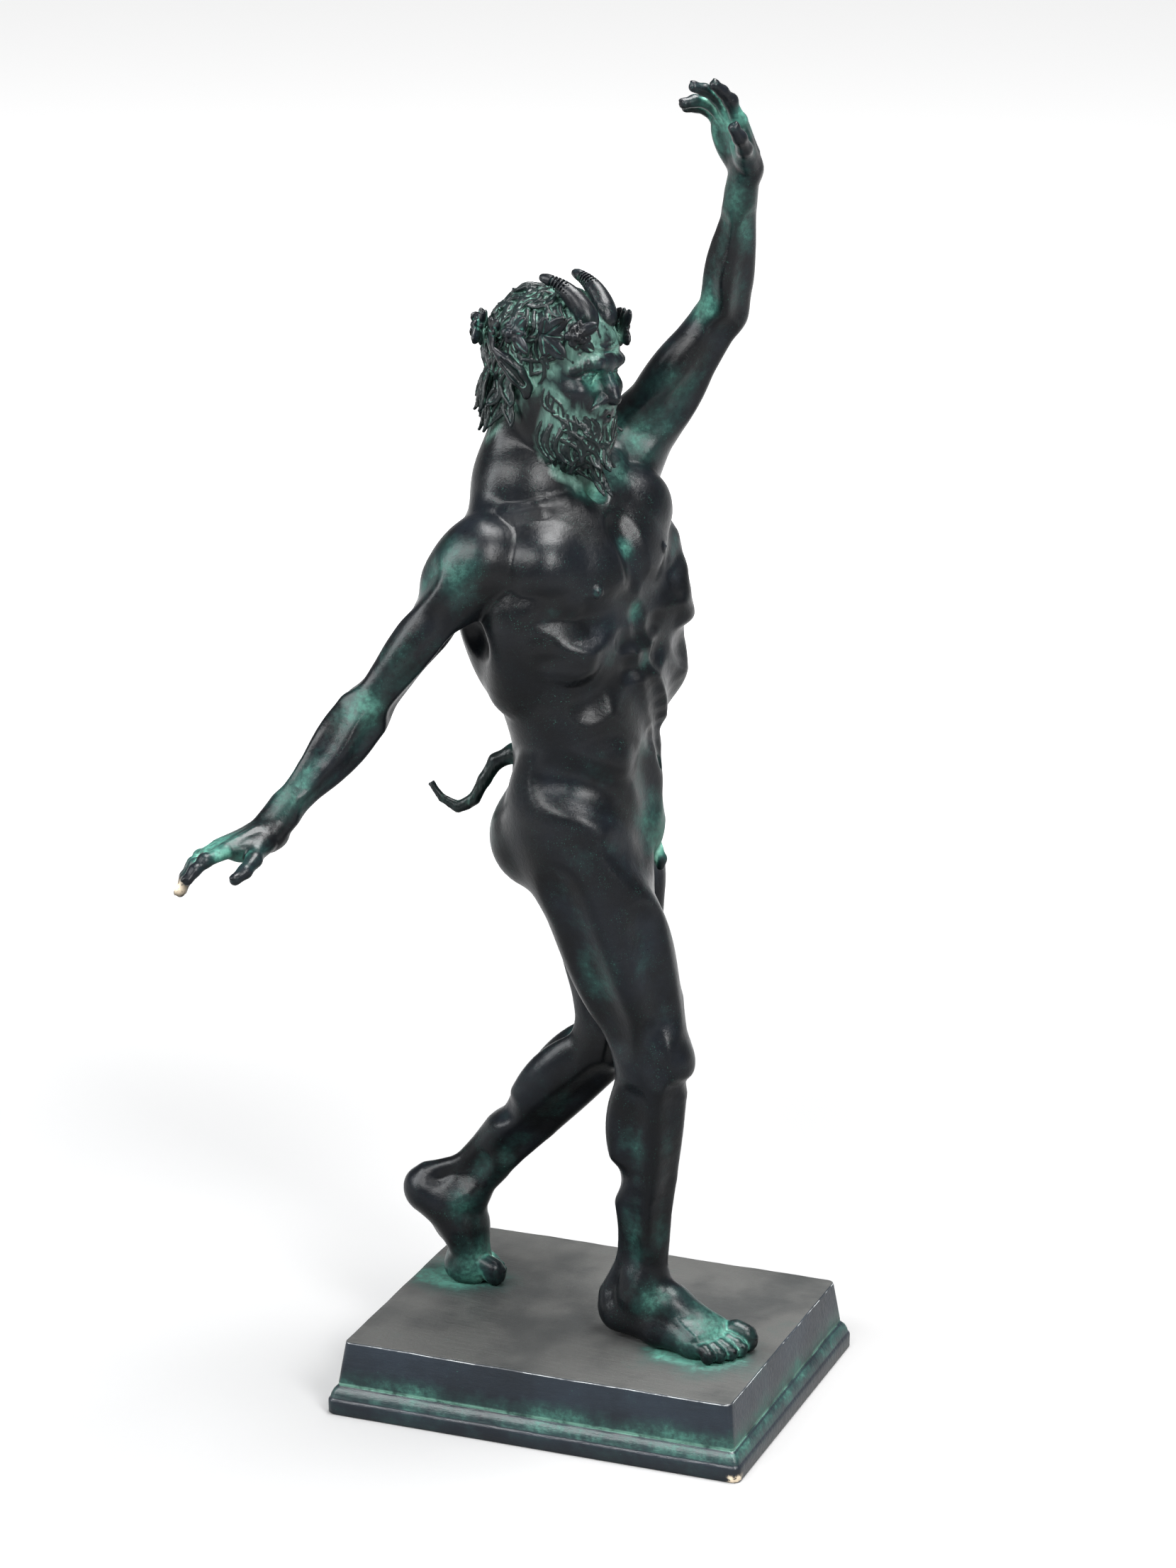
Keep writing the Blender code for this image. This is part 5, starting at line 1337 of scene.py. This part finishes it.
def plinth_rings(faun):
    """Rings of points from the underside up the moulding and in over the top, and a mark on the rim."""
    rings = []
    rims = []
    for height, inset, radius in PLINTH_PROFILE:
        outline = rounded_rectangle(PLINTH_LENGTH - 2 * inset, PLINTH_DEPTH - 2 * inset, radius)
        z = np.full(len(outline), height)
        if height > 0.010:
            rise = min(1, (height - 0.010) / 0.01)
            z = z + 0.0003 * swell(outline[:, 0] * 2.3 + 0.1, outline[:, 1] * 2.3) * rise
        rings.append(np.column_stack((outline, z)))
        rims.append(np.full(len(outline), 1.0 if height == PLINTH_PROFILE[-2][0] else 0.0))
    edge = PLINTH_PROFILE[-1][1]
    for k in range(1, TOP_RINGS + 1):
        inset = edge + 0.0012 + (k / TOP_RINGS) ** 1.05 * (PLINTH_DEPTH / 2 - edge - 0.0012)
        radius = min(0.0044 - 0.0001 * k, PLINTH_DEPTH / 2 - inset)
        outline = rounded_rectangle(PLINTH_LENGTH - 2 * inset, PLINTH_DEPTH - 2 * inset, radius)
        x, y = outline[:, 0], outline[:, 1]
        z = PLINTH_HEIGHT - 0.0002 + min(1, k / 4) * 0.0006 * swell(x, y)
        # The top rises to meet the soles
        for spot in (faun.sole[s] for s in SIDES):
            away = ((x - spot.x - 0.006) / 0.036) ** 2 + ((y - spot.y) / 0.028) ** 2
            z = z * (1 - np.exp(-away ** 2)) + (PLINTH_HEIGHT + 0.0006) * np.exp(-away ** 2)
        rings.append(np.column_stack((outline, z)))
        rims.append(np.zeros(len(outline)))
    return rings, rims


def make_plinth(faun):
    rings, rims = plinth_rings(faun)
    count = len(rings[0])
    k = np.arange(count)
    following = (k + 1) % count
    quads = np.concatenate([np.column_stack((k, following, following + count, k + count)) + r * count
                            for r in range(len(rings) - 1)])
    points = np.concatenate(rings)
    points = np.concatenate((points, [points[:count].mean(0)]))
    base = np.column_stack((following, k, np.full(count, len(points) - 1)))
    mesh = mesh_from(points, base, quads, "plinth_cast")
    obj = linked(mesh)
    x, y, z = points[:, 0], points[:, 1], points[:, 2]
    halo = np.zeros(len(points))
    for spot in (faun.sole[s] for s in SIDES):
        away = ((x - spot.x + 0.002) / 0.036) ** 2 + ((y - spot.y + 0.004) / 0.027) ** 2
        halo = np.maximum(halo, np.exp(-away ** 1.2) * (z > 0.040))
    attribute(mesh, "halo", halo)
    attribute(mesh, "rim", np.concatenate(rims + [[0.0]]))
    # The innermost ring closes on the middle line of the top
    shape = bmesh.new()
    shape.from_mesh(mesh)
    bmesh.ops.remove_doubles(shape, verts=shape.verts, dist=1e-6)
    shape.to_mesh(mesh)
    shape.free()
    mesh.shade_smooth()
    mesh.set_sharp_from_angle(angle=math.radians(50))
    return obj


class Shader:
    """Short calls for building a node material."""

    def __init__(self, name):
        self.material = bpy.data.materials.new(name)
        self.material.use_nodes = True
        self.tree = self.material.node_tree
        self.principled = self.tree.nodes["Principled BSDF"]
        self.geometry = self.tree.nodes.new("ShaderNodeNewGeometry")
        self.place = self.tree.nodes.new("ShaderNodeTexCoord").outputs["Object"]

    def link(self, value, socket):
        if isinstance(value, (int, float)):
            socket.default_value = value
        elif isinstance(value, tuple):
            socket.default_value = (*value, 1) if len(socket.default_value) == 4 else value
        else:
            self.tree.links.new(value, socket)

    def math(self, operation, a, b=0.0, clamp=False):
        node = self.tree.nodes.new("ShaderNodeMath")
        node.operation = operation
        node.use_clamp = clamp
        self.link(a, node.inputs[0])
        self.link(b, node.inputs[1])
        return node.outputs[0]

    def add(self, a, b):
        return self.math("ADD", a, b)

    def times(self, a, b):
        return self.math("MULTIPLY", a, b)

    def ramp(self, value, low, high, bottom=0.0, top=1.0):
        """Smooth step from bottom to top as value goes from low to high."""
        node = self.tree.nodes.new("ShaderNodeMapRange")
        node.interpolation_type = "SMOOTHSTEP"
        self.link(value, node.inputs["Value"])
        for name, number in (("From Min", low), ("From Max", high), ("To Min", bottom), ("To Max", top)):
            node.inputs[name].default_value = number
        return node.outputs["Result"]

    def noise(self, scale, detail=3.0, rough=0.55, stretch=None):
        node = self.tree.nodes.new("ShaderNodeTexNoise")
        node.inputs["Scale"].default_value = scale
        node.inputs["Detail"].default_value = detail
        node.inputs["Roughness"].default_value = rough
        source = self.place
        if stretch:
            mapping = self.tree.nodes.new("ShaderNodeMapping")
            mapping.inputs["Scale"].default_value = stretch
            self.tree.links.new(source, mapping.inputs["Vector"])
            source = mapping.outputs["Vector"]
        self.tree.links.new(source, node.inputs["Vector"])
        return node.outputs["Fac"]

    def attribute(self, name):
        node = self.tree.nodes.new("ShaderNodeAttribute")
        node.attribute_name = name
        return node.outputs["Fac"]

    def mix(self, share, first, second):
        node = self.tree.nodes.new("ShaderNodeMix")
        node.data_type = "RGBA"
        self.link(share, node.inputs["Factor"])
        self.link(first, node.inputs["A"])
        self.link(second, node.inputs["B"])
        return node.outputs["Result"]

    def split(self, vector):
        node = self.tree.nodes.new("ShaderNodeSeparateXYZ")
        self.tree.links.new(vector, node.inputs[0])
        return node.outputs

    def bump(self, height, distance, strength=1.0, under=None):
        node = self.tree.nodes.new("ShaderNodeBump")
        node.inputs["Distance"].default_value = distance
        node.inputs["Strength"].default_value = strength
        self.link(height, node.inputs["Height"])
        if under is not None:
            self.tree.links.new(under, node.inputs["Normal"])
        return node.outputs["Normal"]

    def varied(self, value, parts):
        """Adds each noise, centred on nought and scaled by its weight."""
        for noise, weight in parts:
            value = self.add(value, self.times(self.add(noise, -0.5), weight))
        return value

    def greened(self, base, spread, fine, teal, wash, chalk):
        """Three coats of green over a base, where spread rises past each coat's low and high;
        teal and chalk also say how far they cover. Gives the colour and the middle coat's share."""
        washed = self.ramp(spread, *wash)
        colour = self.mix(self.times(self.ramp(spread, *teal[:2]), teal[2]), base, DEEP_GREEN)
        colour = self.mix(self.times(washed, self.ramp(fine, 0.30, 0.62, 0.35, 1.0)), colour, GREEN)
        return self.mix(self.times(self.ramp(spread, *chalk[:2]), chalk[2]), colour, MINT), washed

    def finish(self, colour, roughness, normal, sheen):
        self.link(colour, self.principled.inputs["Base Color"])
        self.link(roughness, self.principled.inputs["Roughness"])
        self.tree.links.new(normal, self.principled.inputs["Normal"])
        self.principled.inputs["Specular IOR Level"].default_value = sheen
        return self.material


def figure_material():
    s = Shader("patinated_figure")
    cloud = s.noise(24.0, 4.0, 0.6)
    patch = s.noise(70.0, 4.0, 0.62)
    fine = s.noise(330.0, 4.0, 0.65)
    grain = s.noise(1500.0, 2.0, 0.6)
    cavity = s.ramp(s.attribute("cavity"), 0.32, 0.62)
    furrow = s.ramp(s.attribute("furrow"), 0.02, 0.55)
    crest = s.ramp(s.attribute("crest"), 0.05, 0.55)
    zone = s.attribute("green")
    deep = s.attribute("deep")
    base = s.mix(s.ramp(cloud, 0.35, 0.68), BLACK, SLATE)
    # The green sits in furrows and hollows, and as a dry wash over the named places
    in_cavity = s.add(s.times(zone, 0.35), s.add(s.times(deep, 0.60), 0.25))
    in_furrow = s.add(s.times(deep, 1.0), s.add(s.times(zone, 0.4), 0.15))
    spread = s.add(zone, s.add(s.times(cavity, in_cavity), s.times(furrow, in_furrow)))
    spread = s.varied(s.add(spread, s.times(deep, 0.16)), ((cloud, 0.9), (patch, 0.7), (fine, 0.45)))
    spread = s.add(spread, s.times(crest, -0.55))
    colour, wash = s.greened(base, spread, fine, (0.10, 0.70, 0.75), (0.42, 1.05), (0.90, 1.55, 0.85))
    colour = s.mix(s.times(crest, 0.62), colour, BLACK)
    # Hair and beard: pale furrows between dull strands
    streak = s.noise(430.0, 2.0, 0.5, (1.0, 1.0, 0.22))
    hair = s.attribute("hair")
    valley = s.add(furrow, s.times(s.add(s.attribute("cavity"), -0.40), 1.1))
    valley = s.varied(valley, ((patch, 1.0), (streak, -1.0)))
    strands = s.mix(s.ramp(valley, -0.04, 0.50), LOCK_SHADE, LOCK_FURROW)
    strands = s.mix(s.times(s.ramp(valley, 0.42, 1.00), 0.9), strands, LOCK_CHALK)
    strands = s.mix(s.times(crest, 0.45), strands, SLATE)
    colour = s.mix(s.times(hair, 0.9), colour, strands)
    specks = s.times(s.ramp(grain, 0.64, 0.72), s.ramp(patch, 0.44, 0.60))
    colour = s.mix(s.times(specks, 0.45), colour, GREEN)
    colour = s.mix(s.times(s.attribute("chip"), s.ramp(fine, 0.36, 0.46)), colour, CREAM)
    rough = s.varied(s.add(0.31, s.times(wash, 0.30)), ((fine, 0.20),))
    normal = None
    for height, distance, strength in ((grain, 0.00010, 0.5), (patch, 0.0010, 0.15), (fine, 0.00030, 0.6),
                                       (s.times(streak, hair), 0.0010, 0.5)):
        normal = s.bump(height, distance, strength, normal)
    return s.finish(colour, rough, normal, FIGURE_SHEEN)


def plinth_material():
    s = Shader("patinated_plinth")
    x, y, z = s.split(s.place)
    upward = s.split(s.geometry.outputs["True Normal"])[2]
    cloud = s.noise(15.0, 4.0, 0.6)
    patch = s.noise(60.0, 4.0, 0.62)
    fine = s.noise(300.0, 4.0, 0.65)
    grain = s.noise(900.0, 2.0, 0.6)
    brush = s.noise(70.0, 3.0, 0.6, (1.0, 5.0, 5.0))
    # The upward-facing top gets the lighter deck paint: a painted sheen standing in for the overhead light
    # it reflects
    top = s.times(s.ramp(upward, 0.80, 0.95), s.ramp(z, 0.040, 0.043))
    wall = s.mix(s.ramp(cloud, 0.35, 0.7), WALL_DARK, WALL_LIGHT)
    painted_sheen_deck = s.mix(s.ramp(cloud, 0.36, 0.62), PAINTED_SHEEN_DECK_DARK, PAINTED_SHEEN_DECK_LIGHT)
    base = s.mix(top, wall, painted_sheen_deck)
    # Green on the wall's lower half, bright in the groove under it, and round the feet
    low_wall = s.times(s.ramp(z, 0.036, 0.019), s.ramp(z, 0.0165, 0.0180))
    groove = s.times(s.ramp(z, 0.0198, 0.0184), s.ramp(z, 0.0170, 0.0178))
    ovolo = s.times(s.ramp(z, 0.0175, 0.0160), s.ramp(z, 0.0096, 0.0110))
    band = s.ramp(z, 0.0100, 0.0080)
    spread = s.times(low_wall, 0.66)
    for share, weight in ((ovolo, 0.56), (s.attribute("halo"), 1.05), (band, 0.30)):
        spread = s.add(spread, s.times(share, weight))
    spread = s.varied(spread, ((cloud, 1.2), (patch, 0.5), (fine, 0.4)))
    colour, wash = s.greened(base, spread, fine, (0.15, 0.75, 0.6), (0.48, 1.05), (0.95, 1.6, 0.75))
    colour = s.mix(s.times(groove, s.ramp(patch, 0.36, 0.54, 0.12, 0.8)), colour, GROOVE_GREEN)
    # Worn line along the top edge and chips at the front corner
    worn = s.times(s.ramp(s.attribute("rim"), 0.55, 0.95), s.ramp(patch, 0.44, 0.56, 0.05, 0.75))
    colour = s.mix(worn, colour, WORN_GREY)
    specks = s.times(s.ramp(grain, 0.69, 0.74), s.ramp(patch, 0.50, 0.62))
    colour = s.mix(s.times(specks, 0.5), colour, GREEN)
    corner = s.ramp(s.add(x, s.times(y, -1.0)), 0.2300, 0.2335)
    chip = s.times(s.times(corner, s.ramp(z, 0.0060, 0.0030)), s.ramp(fine, 0.42, 0.55))
    colour = s.mix(chip, colour, CREAM)
    rough = s.varied(s.add(0.38, s.times(wash, 0.25)), ((fine, 0.2),))
    normal = None
    for height, distance, strength in ((grain, 0.00010, 0.5), (brush, 0.0008, 0.4), (fine, 0.0003, 0.5)):
        normal = s.bump(height, distance, strength, normal)
    return s.finish(colour, rough, normal, PLINTH_SHEEN)


def make_camera():
    data = bpy.data.cameras.new("photo_camera")
    camera = bpy.data.objects.new("photo_camera", data)
    bpy.context.scene.collection.objects.link(camera)
    azimuth = math.radians(CAMERA_AZIMUTH)
    elevation = math.radians(CAMERA_ELEVATION)
    back = Vector((math.sin(azimuth) * math.cos(elevation), -math.cos(azimuth) * math.cos(elevation),
                   math.sin(elevation)))
    camera.location = Vector(CAMERA_TARGET) + back * CAMERA_DISTANCE
    camera.rotation_euler = (-back).to_track_quat("-Z", "Y").to_euler()
    data.sensor_width = 36.0
    data.lens = CAMERA_LENS
    data.clip_start = 0.05
    data.clip_end = 60.0
    bpy.context.scene.camera = camera


def soft_light(name, place, aim_height, size, power, colour):
    data = bpy.data.lights.new(name, "AREA")
    data.shape = "RECTANGLE"
    data.size, data.size_y = size
    data.energy = power
    data.color = colour
    light = bpy.data.objects.new(name, data)
    light.location = place
    aim = Vector((0, 0, aim_height))
    light.rotation_euler = (aim - Vector(place)).to_track_quat("-Z", "Y").to_euler()
    bpy.context.scene.collection.objects.link(light)


def make_floor():
    """A pale sheet, greyer round the part so that its shadow reads, bright farther out, where it also glows
    as painted light in place of lamplight.
    """
    bpy.ops.mesh.primitive_plane_add(size=60, location=(0, 0, -0.0002))
    floor = bpy.context.object
    floor.name = "studio_floor"
    paper = Shader("studio_paper")
    x, y, _ = paper.split(paper.place)
    away = paper.math("SQRT", paper.add(paper.times(x, x), paper.times(y, y)))
    paper.link(paper.mix(paper.ramp(away, 0.4, 2.5), FLOOR_NEAR, FLOOR_FAR),
               paper.principled.inputs["Base Color"])
    # The floor glows more with distance: painted light where the lamps fall off, so the far floor stays
    # white
    paper.link(paper.ramp(away, 0.4, 2.6, 0.0, 0.60), paper.principled.inputs["Emission Strength"])
    paper.principled.inputs["Emission Color"].default_value = (1, 1, 1, 1)
    paper.principled.inputs["Roughness"].default_value = 0.95
    paper.principled.inputs["Specular IOR Level"].default_value = 0.1
    floor.data.materials.append(paper.material)


def make_sky():
    """White light from low down that fades overhead."""
    world = bpy.data.worlds.new("studio")
    world.use_nodes = True
    tree = world.node_tree
    background = tree.nodes["Background"]
    background.inputs["Color"].default_value = (1, 1, 1, 1)
    split = tree.nodes.new("ShaderNodeSeparateXYZ")
    tree.links.new(tree.nodes.new("ShaderNodeTexCoord").outputs["Generated"], split.inputs[0])
    sky = tree.nodes.new("ShaderNodeMapRange")
    sky.interpolation_type = "SMOOTHSTEP"
    for name, number in (("From Min", 0.02), ("From Max", 0.22), ("To Min", 1.0), ("To Max", 0.22)):
        sky.inputs[name].default_value = number
    tree.links.new(split.outputs["Z"], sky.inputs["Value"])
    tree.links.new(sky.outputs["Result"], background.inputs["Strength"])
    bpy.context.scene.world = world


def make_studio():
    make_floor()
    make_sky()
    for lamp in LAMPS:
        soft_light(*lamp)
    view = bpy.context.scene.view_settings
    view.view_transform = "Standard"
    view.look = "None"
    view.exposure = 0.0


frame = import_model()
make_camera()
make_studio()
figure, faun = make_figure()
plinth = make_plinth(faun)
figure.data.materials.append(figure_material())
plinth.data.materials.append(plinth_material())
for piece, node, slot in ((figure, "faun_figure", "patinated_figure"),
                          (plinth, "plinth", "patinated_plinth")):
    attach(piece, "root")
    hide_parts(node)
